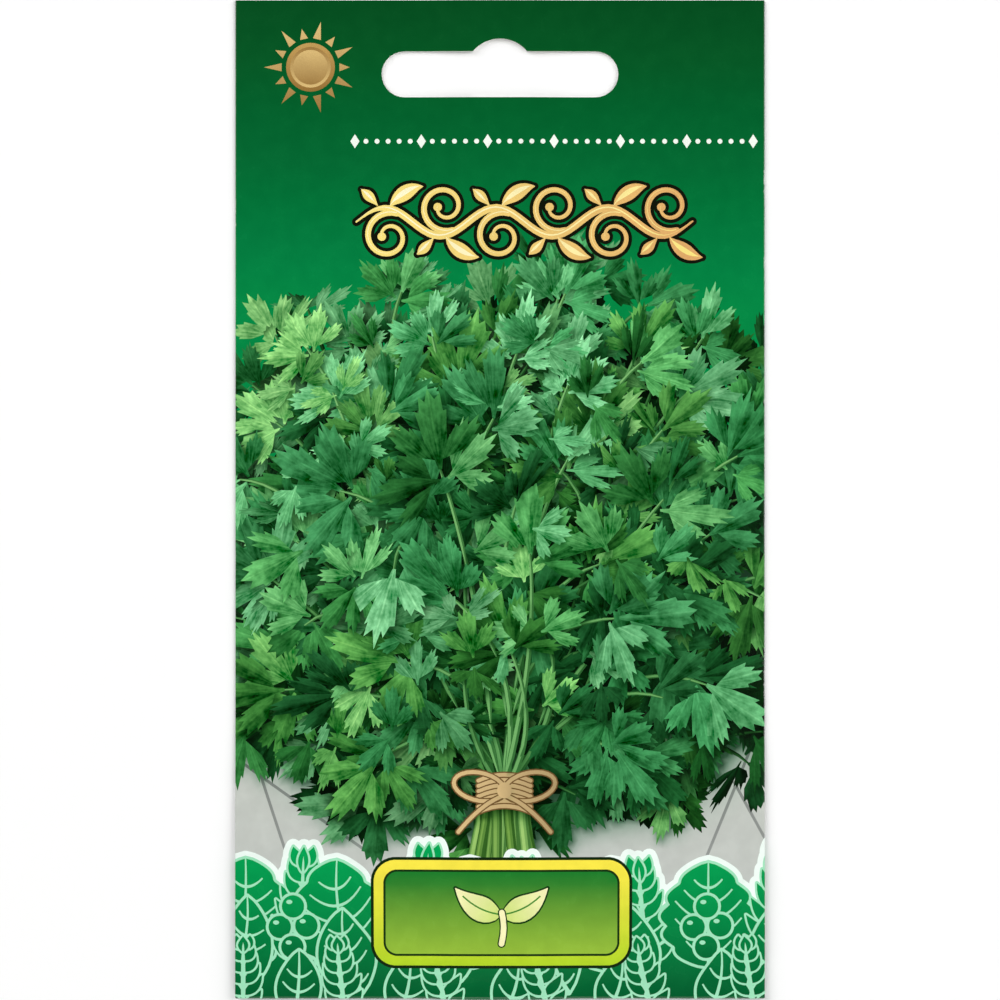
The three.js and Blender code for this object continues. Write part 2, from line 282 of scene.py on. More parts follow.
def turned(v, normal, angle):
    """v turned about normal, both at right angles to each other."""
    return v * np.cos(angle)[..., None] + np.cross(normal, v) * np.sin(angle)[..., None]


def square_to(v, normal):
    """v's direction, turned to stand at right angles to normal."""
    return unit(v - normal * np.sum(v * normal, -1, keepdims=True))


GREENS = np.array([ink(82, 170, 104), ink(94, 180, 116), ink(110, 184, 92), ink(88, 174, 94),
                   ink(76, 164, 100)])
HAZE = ink(24, 132, 64)
STALK_GREEN = ink(126, 186, 112)
bunch = []                                      # (depth to sort by, what lay() needs)
for number, depth, length, shade, spread, first_turn in LAYERS:
    k = np.arange(number)
    reach = np.sqrt((k + 0.6) / number) * spread
    a = k * GOLDEN_TURN + first_turn
    spot = (squared_off(a, BUNCH_POWER) * reach)[:, None] * toward(a) + random.normal(0, 0.035, (number, 2))
    place = spot * BUNCH_HALF + BUNCH_MIDDLE
    dome = DOME * (1 - np.sum(spot ** 2, -1)) + depth + random.normal(0, 0.8, number)
    normal = unit(np.stack([0.75 * spot[:, 0], 0.55 * spot[:, 1] + 0.1, np.ones(number)], -1)
                  + random.normal(0, 0.26, (number, 3)) * (1, 1, 0.2))
    away = unit(0.9 * spot + 0.5 * unit(place - TIE) + random.normal(0, 0.34, (number, 2)))
    stalk = square_to(np.concatenate([away, np.zeros((number, 1))], -1), normal)
    tone = random.random(number)
    tint = GREENS[(tone * len(GREENS)).astype(int)] * random.uniform(0.8, 1.14, (number, 1))
    size = length * random.uniform(0.8, 1.14, number) * (1 - 0.16 * np.maximum(spot[:, 1], 0))
    far = ease((spot[:, 1] - 0.5) / 0.55) * 0.5 * (1.3 - shade)
    bright = np.maximum(shade, 0.74 * ease((reach - 0.72) / 0.26)) * (1 + 0.16 * spot[:, 1])
    off_tie = np.abs(place[:, 0] - TIE[0])
    grows = np.flatnonzero((depth < 0) | (off_tie > STALK_ROOM[0]) | (place[:, 1] > STALK_ROOM[1]))
    outlines = leaflet_outline(number * len(LEAFLETS)).reshape(number, len(LEAFLETS), -1, 2)
    for j, (turn, along_stalk, off_stalk, scale) in enumerate(LEAFLETS):
        angle = np.radians(turn) + random.normal(0, 0.16, number)
        up = turned(stalk, normal, -angle)
        own = unit(normal + 0.36 * random.normal(0, 1, (number, 3)) * (1, 1, 0.4))
        up = square_to(up, own)
        side = np.cross(up, own)
        base = np.concatenate([place, dome[:, None]], -1) + size[:, None] * (
            along_stalk * stalk + off_stalk * np.cross(stalk, normal))
        long = (size * scale)[:, None]
        for i in grows:
            matrix = np.stack([side[i, :2], up[i, :2]], -1) * long[i]
            rise = np.array([side[i, 2], up[i, 2]]) * long[i]
            inverse = np.linalg.inv(matrix)
            slope = rise @ inverse
            lit = max(0.0, own[i] @ LIGHT)
            bunch.append((base[i, 2] + 0.45 * rise[1] + 0.2 * j / 5, dict(
                outline=outlines[i, j] @ matrix.T + base[i, :2], tint=tint[i] * (1 - far[i]) + HAZE * far[i],
                leaf=dict(depth=(base[i, 2] - slope @ base[i, :2], *slope), inverse=inverse, base=base[i, :2],
                          light=bright[i] * (0.19 + 0.83 * lit ** 1.2), droop=0.34 * (up[i] @ LIGHT),
                          tilt=0.38 * (side[i] @ LIGHT), shine=max(0.0, lit - 0.72)))))
    # The stalk under each sprig, which bends towards the tie in three stretches that dive under the leaves.
    # Each starts as a point and lies over the end of the one below it.
    bow = np.linspace(0, 1, 13)[:, None]
    thickness = np.linspace(0.95, 0.4, 13)
    for i in grows:
        root = place[i] + (TIE - place[i]) * min(1, 2.8 * size[i] / np.linalg.norm(TIE - place[i]))
        bend = place[i] - 1.2 * size[i] * stalk[i, :2]
        head = place[i] + 0.12 * size[i] * stalk[i, :2]
        path = bent(root, bend, head, bow)
        for start, dive in ((0, 5.6), (3, 3.0), (7, 0.6)):
            stretch = slice(start, start + 6)
            under = dome[i] - dive
            for width, aside, lit in ((1.0, 0, 0.34), (0.5, -0.12, 0.86)):
                thick = width * thickness[stretch] * (0.08, 1, 1, 1, 1, 0.6)
                bunch.append((under, dict(outline=line(path[stretch] + (aside, 0), thick), tint=STALK_GREEN,
                                          leaf=level(under, light=bright[i] * lit))))

# The gathered stalks, which fan up from the tie under the front leaves. Each is laid three times over, ever
# narrower and brighter, so that it has a shaded and a lit side.
GATHERED = 30
t = np.linspace(0, 1, 11)
for i, share in enumerate(random.permutation(np.linspace(-1, 1, GATHERED))):
    fan = share * (2.6 + 11 * np.maximum(t - 0.25, 0) ** 1.35 + 7.0 * np.maximum(0.25 - t, 0))
    path = np.stack([TIE[0] + fan + 0.35 * np.sin(6 * t + 2.1 * i), 16.5 + 36 * t], -1)
    green = ink(*(np.array([122, 168, 84]) + random.uniform(-24, 20)))
    for width, aside, bright in ((1.35, 0, 0.4), (0.85, -0.12, 0.85), (0.34, -0.2, 1.25)):
        outline = line(path + (aside, 0), width + 0.12 * np.sin(3 * t + i))
        bunch.append((0.9 + 0.02 * i, dict(outline=outline, tint=green * 0.5, fade=green, start=(0, 46),
                                           end=(0, 33), leaf=level(1.0 + 0.05 * i, light=bright))))
for _, shape in sorted(bunch, key=lambda item: item[0]):
    lay(**shape)

# The twine round the gathered stalks: seven wraps, a bow of two loops and two ends, and the knot over them.
# Each is a pale line on a wider dark one.
TWINE_DARK, TWINE = ink(112, 84, 48), ink(216, 186, 132)
WRAPS, WRAP_HALF = 7, 3.5
t = np.linspace(-1, 1, 11)
twine = [np.stack([TIE[0] + WRAP_HALF * t, TIE[1] - 2.1 + 0.7 * i - 0.8 * t ** 2], -1) for i in range(WRAPS)]
turn = np.linspace(0, 2 * np.pi, 25)
for side in (-1, 1):
    out = 1 - np.cos(turn)
    twine.append(TIE + np.stack([side * 3.4 * out, 1.9 * np.sin(turn) + 0.5 * out], -1))
    twine.append(TIE + np.stack([side * (3.3 + 2.9 * t), -2.6 - 2.4 * t - 0.6 * t ** 2], -1))
for path in twine:
    for width, dark, bright in ((0.86, TWINE_DARK, TWINE_DARK), (0.52, TWINE * 0.62, TWINE)):
        lay(line(path, width, capped=True), dark, bright, (TIE[0] + 7, 0), (TIE[0] - 5, 0), leaf=level(8))
lay(oval(*TIE, 1.0, 1.1, 16), TWINE * 0.7, TWINE, (TIE[0] + 1, 0), (TIE[0] - 1, 0), leaf=level(8.5))


# The leaf border along the foot: scalloped leaves and fern fronds at the back, plain leaves and berries
# before them, and low fronds in front. Their pale rims come first, then each with its light outline, its
# green and its veins.
def blade(foot, tip, wide, bow=0.0, fullness=1.0, scallops=0):
    """A leaf from foot to tip whose middle line bows aside by bow. It is wide * swell^fullness across, less
    in the notches between its scallops. Returns its outline and its middle line."""
    foot, tip = np.asarray(foot, float), np.asarray(tip, float)
    t = np.linspace(0, 1, 19 + 8 * scallops)
    ahead = unit(tip - foot)
    middle = foot + np.outer(t, tip - foot) + np.outer(4 * bow * t * (1 - t), (ahead[1], -ahead[0]))
    notch = 0.15 * (1 - np.abs(np.sin(np.pi * scallops * t))) * (scallops > 0)
    return line(middle, wide * swell(t).clip(0) ** fullness * (1 - notch)), middle


def grown(outline, grow):
    """The outline moved outwards by grow: each corner goes along the mean of its two sides' normals, and a
    sharp one becomes an arc of several points from one normal to the other."""
    ahead = np.roll(outline, -1, 0) - outline
    apart = np.linalg.norm(ahead, axis=1) > 1e-5
    outline, ahead = outline[apart], ahead[apart]
    heading = np.arctan2(ahead[:, 1], ahead[:, 0])
    turn = (heading - np.roll(heading, 1) + np.pi) % (2 * np.pi) - np.pi
    parts = 1 + np.round(np.abs(turn) / 0.5).astype(int)
    at = np.repeat(np.arange(len(outline)), parts)
    share = (np.arange(len(at)) - np.repeat(np.cumsum(parts) - parts, parts) + 0.5) / parts[at]
    return outline[at] + grow * toward(heading[at] - turn[at] * (1 - share) - np.pi / 2)


def spread_over(count, offset, steps):
    """Where count pieces stand across the front, with that many steps to its width and the first offset by a
    share of a step."""
    return -FRONT_EDGE + 2 * FRONT_EDGE * (np.arange(count) + offset) / steps


BORDER_TOP, BORDER_FILLED = 21, 9.5
EMERALD, DEEP, MINT = ink(4, 164, 84), ink(4, 92, 46), ink(160, 228, 188)
RIM_WHITE = ink(240, 252, 244)
RIM, MINT_LINE, FINE_LINE = 1.05, 0.38, 0.28
BERRY, BERRIES_AT = 1.9, ((-1.8, 0), (1.8, 0.2), (0, 2.8), (-0.1, -2.7))
VEIN_STEP = 2.2
border = []                                     # each piece of it: its kind, and what blade() needs


def frond(foot, tall, wide, lean, pairs):
    """A fern frond: a leaning stem with pairs of slim leaves that grow and shrink again along it."""
    stem = np.array([lean, tall])
    parts = []
    for i in range(pairs):
        t = 0.12 + 0.8 * i / (pairs - 1)
        at = foot + stem * t + (lean * 0.25 * np.sin(np.pi * t), 0)
        long = wide / 2 * (1 - 0.8 * abs(t - 0.3) ** 1.1)
        for side in (-1, 1):
            aim = unit(np.array([side * (1.0 - 0.35 * t), 0.55 + 0.5 * t]) + 0.25 * unit(stem))
            parts.append(("pinna", (at, at + long * aim, 0.4 * tall / pairs + 0.7, side * 0.3)))
    parts.append(("pinna", (foot + stem * 0.86, foot + stem * 1.08, 1.4)))
    parts.append(("stem", (foot, foot + stem, 0.62, lean * 0.12, 0.5)))
    return parts


for i, x in enumerate(spread_over(10, 0.35, 9.6)):
    swing = np.sin(2.3 * i + 0.4)
    if i % 2:
        border += frond(np.array([x, 3.0]), 15.5 + 1.2 * swing, 11.0, 2.2 * swing, 7)
    else:
        tip = (x + 2.6 * swing, 18.6 + 1.5 * np.sin(3.1 * i))
        border.append(("leaf", ((x, 4.0), tip, 13.0, swing, 0.6, 5)))
for i, x in enumerate(spread_over(9, 0.1, 8.2)):
    swing = np.sin(1.7 * i + 2.0)
    if i % 3 == 1:
        border += [("berry", (x + dx, 9.4 + ds)) for dx, ds in BERRIES_AT]
    else:
        border.append(("leaf", ((x, 0.5), (x + 3.4 * swing, 12.6 + swing), 7.6, 1.2 * swing, 0.8)))
for i, x in enumerate(spread_over(11, 0.5, 11)):
    swing = np.sin(2.9 * i)
    if i % 2:
        border.append(("leaf", ((x, -3.0), (x + 2.6 * swing, 6.2), 5.8, swing, 0.75)))
    else:
        border += frond(np.array([x, -2.5]), 9.8, 7.4, 2.4 * swing, 6)
for kind, shape in border:
    lay(grown(oval(*shape, BERRY, BERRY) if kind == "berry" else blade(*shape)[0], RIM), RIM_WHITE)
lay(block(-FRONT_EDGE, FRONT_EDGE, FLAP_END, BORDER_FILLED), DEEP, EMERALD, (0, 0), (0, BORDER_TOP))
u = np.linspace(0, 1, 7)
for kind, shape in border:
    if kind == "berry":
        lay(oval(*shape, BERRY, BERRY), MINT)
        lay(oval(*shape, BERRY - MINT_LINE, BERRY - MINT_LINE), DEEP, EMERALD, (0, 4), (0, 16))
        lay(oval(shape[0] - 0.5, shape[1] + 0.6, 0.42, 0.3, 10), MINT)
        continue
    if kind == "stem":
        lay(blade(*shape)[0], MINT)
        continue
    green, middle = blade(*shape)
    lay(grown(green, MINT_LINE if kind == "leaf" else FINE_LINE), MINT)
    lay(green, DEEP, EMERALD, (0, 0), (0, BORDER_TOP))
    if kind == "leaf":
        lay(line(middle, np.linspace(0.6, 0.2, len(middle))), MINT)
        long = np.linalg.norm(middle[-1] - middle[0])
        ahead = (middle[-1] - middle[0]) / long
        for t in np.arange(0.13, 0.8, VEIN_STEP / long):
            reach = 0.38 * shape[2] * swell(t) ** 0.75
            end = min(0.97, t + 0.6 * reach / long)
            reach = min(reach, 0.4 * shape[2] * swell(end) ** 0.75)
            for side in (-1, 1):
                path = middle[int(t * len(middle))] + reach * (
                    np.outer(u, side * np.array([ahead[1], -ahead[0]])) + np.outer(0.6 * u ** 2, ahead))
                lay(line(path, 0.42 - 0.2 * u), MINT)

# The plaque at the foot: a dark edge, a yellow band, a dark line and a green field, each inside the one
# before, with a sprout of two leaves.
PLAQUE_MIDDLE = np.array([0.2, 11.4])


def plaque(half_x, half_s, corner):
    """A rectangle with rounded corners about the plaque's middle."""
    round_it = toward(np.linspace(0, 2 * np.pi, 32, endpoint=False) + np.pi / 32)
    return PLAQUE_MIDDLE + np.sign(round_it) * (half_x - corner, half_s - corner) + corner * round_it


lay(plaque(17.6, 7.6, 3.4), ink(18, 40, 14))
lay(plaque(17.2, 7.2, 3.0), ink(176, 214, 40), ink(250, 232, 74), (0, 4), (0, 18))
lay(plaque(15.9, 5.9, 1.9), ink(22, 52, 18))
lay(plaque(15.6, 5.6, 1.6), ink(150, 190, 60), ink(28, 124, 44), (0, 6), (0, 16))
SPROUT, SPROUT_EDGE = ink(252, 246, 190), ink(20, 60, 20)
sprout_foot = PLAQUE_MIDDLE - (0, 4.2)
fork = sprout_foot + (0, 4.0)
t = np.linspace(0, 1, 12)
for side in (-1, 1):
    tip = sprout_foot + (side * 6.2, 7.6)
    middle = bent(fork, fork + (side * 3.6, 0.4), tip, t[:, None])
    width = 3.3 * swell(t, 0.75) + 0.1
    lay(line(middle, width + 0.5, capped=True), SPROUT_EDGE)
    lay(line(middle, width), ink(206, 228, 120), SPROUT, tuple(fork), tuple(tip))
    lay(line(middle[:-2], 0.22), ink(70, 140, 50))
stem = np.stack([0.3 * np.sin(np.linspace(0, 3, 7)), np.linspace(0, 4.3, 7)], -1) + sprout_foot
lay(line(stem, 1.1, capped=True), SPROUT_EDGE)
lay(line(stem, 0.75, capped=True), SPROUT)

# The gold scroll over the bunch: a waved stem with a curl, a leaf and a bud at each turn. Its dark edge is
# laid first, then the gold, then a pale light along the middle of each line.
SCROLL_FROM, SCROLL_TO, SCROLL_S = -19.4, 26.0, 104.5
GOLD, GOLD_DARK, GOLD_PALE = ink(250, 228, 128), ink(222, 168, 104), ink(255, 250, 214)
SCROLL_EDGE = ink(16, 20, 8)
WAVE, WAVE_HEIGHT = 15.1, 1.9


def scroll_parts():
    """The scroll's lines, as paths with their widths: the stem s = a sin(2 pi x / wave), and from each crest
    a curl whose radius shrinks evenly as it turns, and a leaf and a bud that swell and close."""
    x = np.linspace(SCROLL_FROM, SCROLL_TO, 61)
    ends = np.minimum(x - SCROLL_FROM, SCROLL_TO - x)
    stem = np.stack([x, SCROLL_S + WAVE_HEIGHT * np.sin(2 * np.pi * (x - SCROLL_FROM) / WAVE)], -1)
    parts = [(stem, 0.25 + 0.75 * ease(ends / 6))]
    share, t = np.linspace(0, 1, 40), np.linspace(0, 1, 12)
    a = 8.2 * share - 0.35
    radius = 3.35 - 2.4 * share
    for i in range(6):
        crest = SCROLL_FROM + WAVE * (0.25 + 0.5 * i)
        up = 1 if i % 2 == 0 else -1
        centre = (crest + 0.6, SCROLL_S - up * 2.0)
        curl = centre + np.stack([-radius * np.sin(a), up * radius * np.cos(a)], -1)
        parts.append((curl, 0.34 + 0.5 * (1 - share) ** 0.7))
        parts.append((curl[-1] + [(0, 0), (0.02, 0)], np.full(2, 1.15)))
        leaf = np.stack([crest + 0.8 + 4.4 * t, SCROLL_S + up * (2.1 + 3.6 * t ** 0.8 - 0.9 * t ** 3)], -1)
        parts.append((leaf, 0.12 + 1.9 * swell(t)))
        bud = np.stack([crest - 0.9 - 2.2 * t, SCROLL_S + up * (2.2 + 2.6 * t - 0.4 * t ** 2)], -1)
        parts.append((bud, 0.1 + 1.25 * swell(t, 1.2)))
    return parts


scroll = scroll_parts()
across_it = dict(start=(SCROLL_FROM, SCROLL_S), end=(SCROLL_TO, SCROLL_S))
for path, width in scroll:
    lay(line(path, width + 0.95, capped=True), SCROLL_EDGE)
for path, width in scroll:
    lay(line(path, width, capped=True), GOLD, GOLD_DARK, **across_it)
for path, width in scroll:
    lay(line(path + (-0.06, 0.1), np.maximum(width - 0.62, 0.06) * 0.5), GOLD_PALE, GOLD, **across_it)

# The beaded rule over the scroll, with a lozenge in place of every sixth bead, and the small bronze sun by
# the hang slot, of long and short rays round a ringed disc.
RULE_S, RULE_FROM, RULE_TO = 115.4, -19.6, 34.2
BEADS, LOZENGE_EVERY = 37, 6
BEAD, LOZENGE = (0.34, 0.34, 10), (0.62, 0.95, 4)
for i, x in enumerate(np.linspace(RULE_FROM, RULE_TO, BEADS)):
    lay(oval(x, RULE_S, *(BEAD if i % LOZENGE_EVERY else LOZENGE)), ink(244, 250, 240))
SUN, RAYS = (-25.6, 125.4), 14
BRONZE_DARK, BRONZE, BRONZE_PALE = ink(150, 112, 56), ink(190, 152, 86), ink(222, 190, 124)
for i in range(RAYS):
    ahead = toward(2 * np.pi * i / RAYS)
    across = np.array([-ahead[1], ahead[0]])
    far = 6.3 if i % 2 else 5.3
    ray = [SUN + 3.9 * ahead - 0.55 * across, SUN + far * ahead, SUN + 3.9 * ahead + 0.55 * across]
    lay(ray, BRONZE_DARK, BRONZE_PALE, (0, SUN[1] - 6), (0, SUN[1] + 6))
for radius, count, low_ink, high_ink in ((3.3, 36, BRONZE_DARK, BRONZE), (2.75, 32, BRONZE_PALE, BRONZE_DARK),
                                         (2.35, 32, BRONZE_DARK, BRONZE_PALE)):
    lay(oval(*SUN, radius, radius, count), low_ink, high_ink, (0, SUN[1] - 3), (0, SUN[1] + 3))

# The back: a framed pale field with a green foot and head, twelve sowing months, three badges for a seed in
# the soil, a drop of water and the sun, and ruled lines for notes.
BACK_PALE, BACK_GREEN, BACK_WHITE = ink(238, 241, 228), ink(10, 122, 62), ink(250, 251, 244)
BACK_RULE = ink(120, 150, 120)
SOWN = (2, 3, 4, 7)                             # the months that are filled in, counted from 0
for side in (-1, 1):
    near, edge = side * FRONT_EDGE, side * (GIRTH + 1)
    lay(block(near, edge, FLAP_END - 1, TOP + 1), BACK_PALE)
    lay(block(near, edge, TOP - 22, TOP + 1), BACK_GREEN, ink(3, 80, 34), (0, TOP - 22), (0, TOP))
    lay(block(near, edge, FLAP_END - 1, 16), ink(6, 92, 50), BACK_GREEN, (0, 0), (0, 16))
    for s in (18.2, TOP - 24.6):
        lay(block(near + side * 2.2, edge, s, s + 0.35), BACK_GREEN)
    lay(block(near + side * 2.2, near + side * 2.55, 18.2, TOP - 24.25), BACK_GREEN)
LAP_G = 2 * FRONT + FOLD_RUN                    # the girth at the middle of the back
for month in range(12):
    x = 28 - 4.7 * (month % 6)
    s = 92 - 6.2 * (month // 6)
    g = LAP_G - x
    lay(block(g - 2.1, g + 2.1, s - 2.7, s + 2.7), BACK_GREEN)
    if month not in SOWN:
        lay(block(g - 1.8, g + 1.8, s - 2.4, s + 2.4), BACK_WHITE)
for i in range(8):
    s = 74 - 6.0 * i
    lay(block(LAP_G - 29, LAP_G - 5, s, s + 0.28), BACK_RULE)
    lay(block(-LAP_G + 6, -LAP_G + 29, s, s + 0.28), BACK_RULE)
BADGE_S, BADGE = 88.9, 3.7
t = np.linspace(0, 1, 15)
for motif, g in zip(("seed", "drop", "sun"), -LAP_G + np.array([9.4, 17.7, 26.0])):
    lay(oval(g, BADGE_S, BADGE, BADGE, 40), BACK_GREEN)
    lay(oval(g, BADGE_S, BADGE - 0.35, BADGE - 0.35, 40), BACK_WHITE)
    if motif == "seed":
        lay(block(g - 2.9, g + 2.9, BADGE_S + 0.5, BADGE_S + 0.8), BACK_GREEN)
        lay(oval(g, BADGE_S - 1.1, 0.55, 0.85, 16), BACK_GREEN)
        lay(line([(g + 1.6, BADGE_S + 0.3), (g + 1.6, BADGE_S - 1.3)], 0.22), BACK_GREEN)
        for side in (-1, 1):
            lay(blade((g, BADGE_S + 0.8), (g + side * 1.7, BADGE_S + 2.5), 0.9)[0], BACK_GREEN)
    elif motif == "drop":
        path = np.stack([np.full(15, g), BADGE_S + 2.4 - 4.4 * t], -1)
        lay(line(path, 3.4 * t ** 0.8 * np.sqrt(1 - t ** 3)), BACK_GREEN)
    else:
        lay(oval(g, BADGE_S, 1.25, 1.25), BACK_GREEN)
        for a in np.linspace(0, 2 * np.pi, 8, endpoint=False):
            lay(line([(g, BADGE_S) + r * toward(a) for r in (1.65, 2.6)], 0.36), BACK_GREEN)

# The sheet's mesh. The outlines are cut against each other and the hidden stretches dropped. What shows is
# then triangulated with the punched slot, the fold lines and a net of points, and bent round the packet.
SLOT_WIDTH, SLOT_HEIGHT, SLOT_ARCH, SLOT_BELOW_TOP = 32, 6.2, 4.8, 10
SLOT_S = TOP - SLOT_BELOW_TOP


def slot_outline(g):
    """The hang slot about girth g: half circles at the ends and an arch about the bar's middle."""
    half = SLOT_HEIGHT / 2
    end = SLOT_WIDTH / 2 - half
    rise = np.arcsin(half / SLOT_ARCH)
    a = np.concatenate([np.linspace(-np.pi / 2, np.pi / 2, 15), np.linspace(rise, np.pi - rise, 17),
                        np.linspace(np.pi / 2, 1.5 * np.pi, 15)])
    middle = np.repeat([end, 0, -end], [15, 17, 15])
    radius = np.repeat([half, SLOT_ARCH, half], [15, 17, 15])
    return np.stack([g + middle + radius * np.cos(a), SLOT_S + radius * np.sin(a)], -1)


def inside(points, outline):
    """Which points an outline goes round: of its sides to their right, not as many go up as down."""
    near = np.flatnonzero(np.all((points >= outline.min(0)) & (points <= outline.max(0)), 1))
    a, b = outline, np.roll(outline, -1, 0)
    x, y = points[near, 0, None], points[near, 1, None]
    with np.errstate(divide="ignore", invalid="ignore"):
        cross = a[:, 0] + (y - a[:, 1]) * (b[:, 0] - a[:, 0]) / (b[:, 1] - a[:, 1])
    upwards = (b[:, 1] > y).astype(int) - (a[:, 1] > y)
    return near[(upwards * (x < cross)).sum(1) != 0]


def cut(points, edges, merge):
    """Blender's constrained triangulation: its points, its triangles, and the given points at each point."""
    found = delaunay_2d_cdt([Vector(p) for p in points.tolist()], edges, [], 0, merge)
    return np.array([tuple(v) for v in found[0]]), np.array(found[2]), found[3]


def sides_of(triangles):
    """Each triangle's three directed sides, and for each the number of the triangle."""
    sides = np.concatenate([triangles[:, [0, 1]], triangles[:, [1, 2]], triangles[:, [2, 0]]])
    return sides, np.tile(np.arange(len(triangles)), 3)


def owners(points):
    """The number of the shape laid last over each point, or -1 on the bare ground."""
    by_height = np.argsort(points[:, 1])
    ordered = points[by_height]
    last = np.full(len(points), -1)
    for number, shape in enumerate(shapes):
        heights = shape["outline"][:, 1]
        a, b = np.searchsorted(ordered[:, 1], (heights.min(), heights.max()))
        last[by_height[a + inside(ordered[a:b], shape["outline"])]] = number
    return last


def parted(points, pairs, step):
    """The stretches between pairs of points, each parted into equal pieces no longer than a step: all the
    points, and the new pairs."""
    a, b = points[pairs[:, 0]], points[pairs[:, 1]]
    parts = np.maximum(1, np.ceil(np.linalg.norm(b - a, axis=1) / step - 1e-4)).astype(int)
    stretch = np.repeat(np.arange(len(pairs)), parts)
    k = np.arange(len(stretch)) - np.repeat(np.cumsum(parts) - parts, parts)
    t = (k / parts[stretch])[:, None]
    between = a[stretch] * (1 - t) + b[stretch] * t
    number = np.where(k == 0, pairs[stretch, 0], len(points) - 1 + np.cumsum(k > 0))
    last = k == parts[stretch] - 1
    pieces = np.stack([number, np.where(last, pairs[stretch, 1], np.roll(number, -1))], -1)
    return np.concatenate([points, between[k > 0]]), pieces


def straightened(points, pairs, slack):
    """The pairs without the points at which a chain of them bends by less than the slack. Eight times over,
    it drops those of them whose neighbours both stay."""
    n = np.arange(len(points))
    for _ in range(8):
        ends, others = pairs.ravel(), pairs[:, ::-1].ravel()
        order = np.argsort(ends, kind="stable")
        first = np.searchsorted(ends[order], n)
        middle = n[np.bincount(ends, minlength=len(n)) == 2]
        a, b = others[order[first[middle]]], others[order[first[middle] + 1]]
        chord, off = points[b] - points[a], points[middle] - points[a]
        area = np.abs(chord[:, 0] * off[:, 1] - chord[:, 1] * off[:, 0])
        bend = area / (np.linalg.norm(chord, axis=1) + 1e-9)
        rank = np.zeros(len(n))
        rank[middle[bend < slack]] = 2 + np.sin(12.9898 * middle[bend < slack])
        drop = rank[middle] > np.maximum(rank[a], rank[b])
        stays = ~np.isin(pairs, middle[drop]).any(1)
        pairs = np.concatenate([pairs[stays], np.stack([a[drop], b[drop]], -1)])
    return pairs


# The picture's cells. Leaves that show in none of them are left out, and the rest shade one another
CELL = 0.25
FIELD_LOW, FIELD_HIGH = np.array([-40.0, 6.0]), np.array([40.0, 106.0])
columns, lines = np.ceil((FIELD_HIGH - FIELD_LOW) / CELL).astype(int)
cells = np.stack(np.meshgrid(np.arange(columns), np.arange(lines), indexing="ij"), -1).reshape(-1, 2) * CELL
cells = cells + FIELD_LOW + CELL / 2
top = owners(cells)
seen = np.array([shape["leaf"] is None for shape in shapes])
seen[top[top >= 0]] = True
top = np.where(top < 0, -1, np.searchsorted(np.flatnonzero(seen), top))
shapes = [shape for shape, is_seen in zip(shapes, seen) if is_seen]

outlines = [shape["outline"] for shape in shapes]
counts = np.array([len(o) for o in outlines])
firsts = np.repeat(np.cumsum(counts) - counts, counts)
n = np.arange(len(firsts))
ring = np.stack([n, firsts + (n - firsts + 1) % np.repeat(counts, counts)], -1)
OUTLINE_MERGE, SHEET_MERGE, INNER_MERGE = 0.004, 0.003, 1e-5    # mm within which a cut takes points for one
spots, triangles, _ = cut(np.concatenate(outlines), ring.tolist(), OUTLINE_MERGE)
owner = owners(spots[triangles].mean(1))
sides, of_triangle = sides_of(triangles)
order = np.lexsort((np.sort(sides, 1)[:, 1], np.sort(sides, 1)[:, 0]))
ordered = np.sort(sides, 1)[order]
pairs = np.flatnonzero(np.all(ordered[1:] == ordered[:-1], 1))
differ = owner[of_triangle[order[pairs]]] != owner[of_triangle[order[pairs + 1]]]
SLACK = 0.012
shown = straightened(spots, ordered[pairs[differ]], SLACK)

# The second triangulation keeps the visible outlines, the slots, the sheet's edge and the fold lines
SLOT_MIDDLES = (0, LAP_G, -LAP_G)
FOLD_ROWS = -np.pi * FOLD_ARC * np.linspace(0, 1, 7)
FOLD_COLUMNS = FRONT + FOLD_RUN * np.linspace(0, 1, 5)
STEP = 1.2                                      # the longest stretch of a kept line that stays straight


def kept_lines(points, pairs, outlines):
    """What a triangulation keeps: the pairs of points, the closed outlines and the fold lines, all parted
    into short stretches. Returns its points and its pairs."""
    folds = [[(-GIRTH, s), (GIRTH, s)] for s in FOLD_ROWS]
    folds += [[(side * g, FLAP_END), (side * g, TOP)] for g in FOLD_COLUMNS for side in (-1, 1)]
    for chain in outlines + folds:
        n = np.arange(len(chain))
        ring = np.stack([n, np.roll(n, -1)], -1) + len(points)
        pairs = np.concatenate([pairs, ring if len(chain) > 2 else ring[:1]])
        points = np.concatenate([points, chain])
    return parted(points, pairs, STEP)


numbers_shown, pairs_shown = np.unique(shown, return_inverse=True)
closed = [slot_outline(g) for g in SLOT_MIDDLES] + [block(-GIRTH, GIRTH, FLAP_END, TOP)]
kept = kept_lines(spots[numbers_shown], pairs_shown.reshape(-1, 2), closed)


def net(x0, x1, s0, s1, step):
    """Points in staggered rows, a step apart."""
    s = np.arange(s0, s1, step * np.sqrt(3) / 2)
    x = np.arange(x0, x1, step)
    rows = x[None, :] + (np.arange(len(s)) % 2)[:, None] * step / 2
    return np.stack([rows.ravel(), np.repeat(s, len(x))], -1)


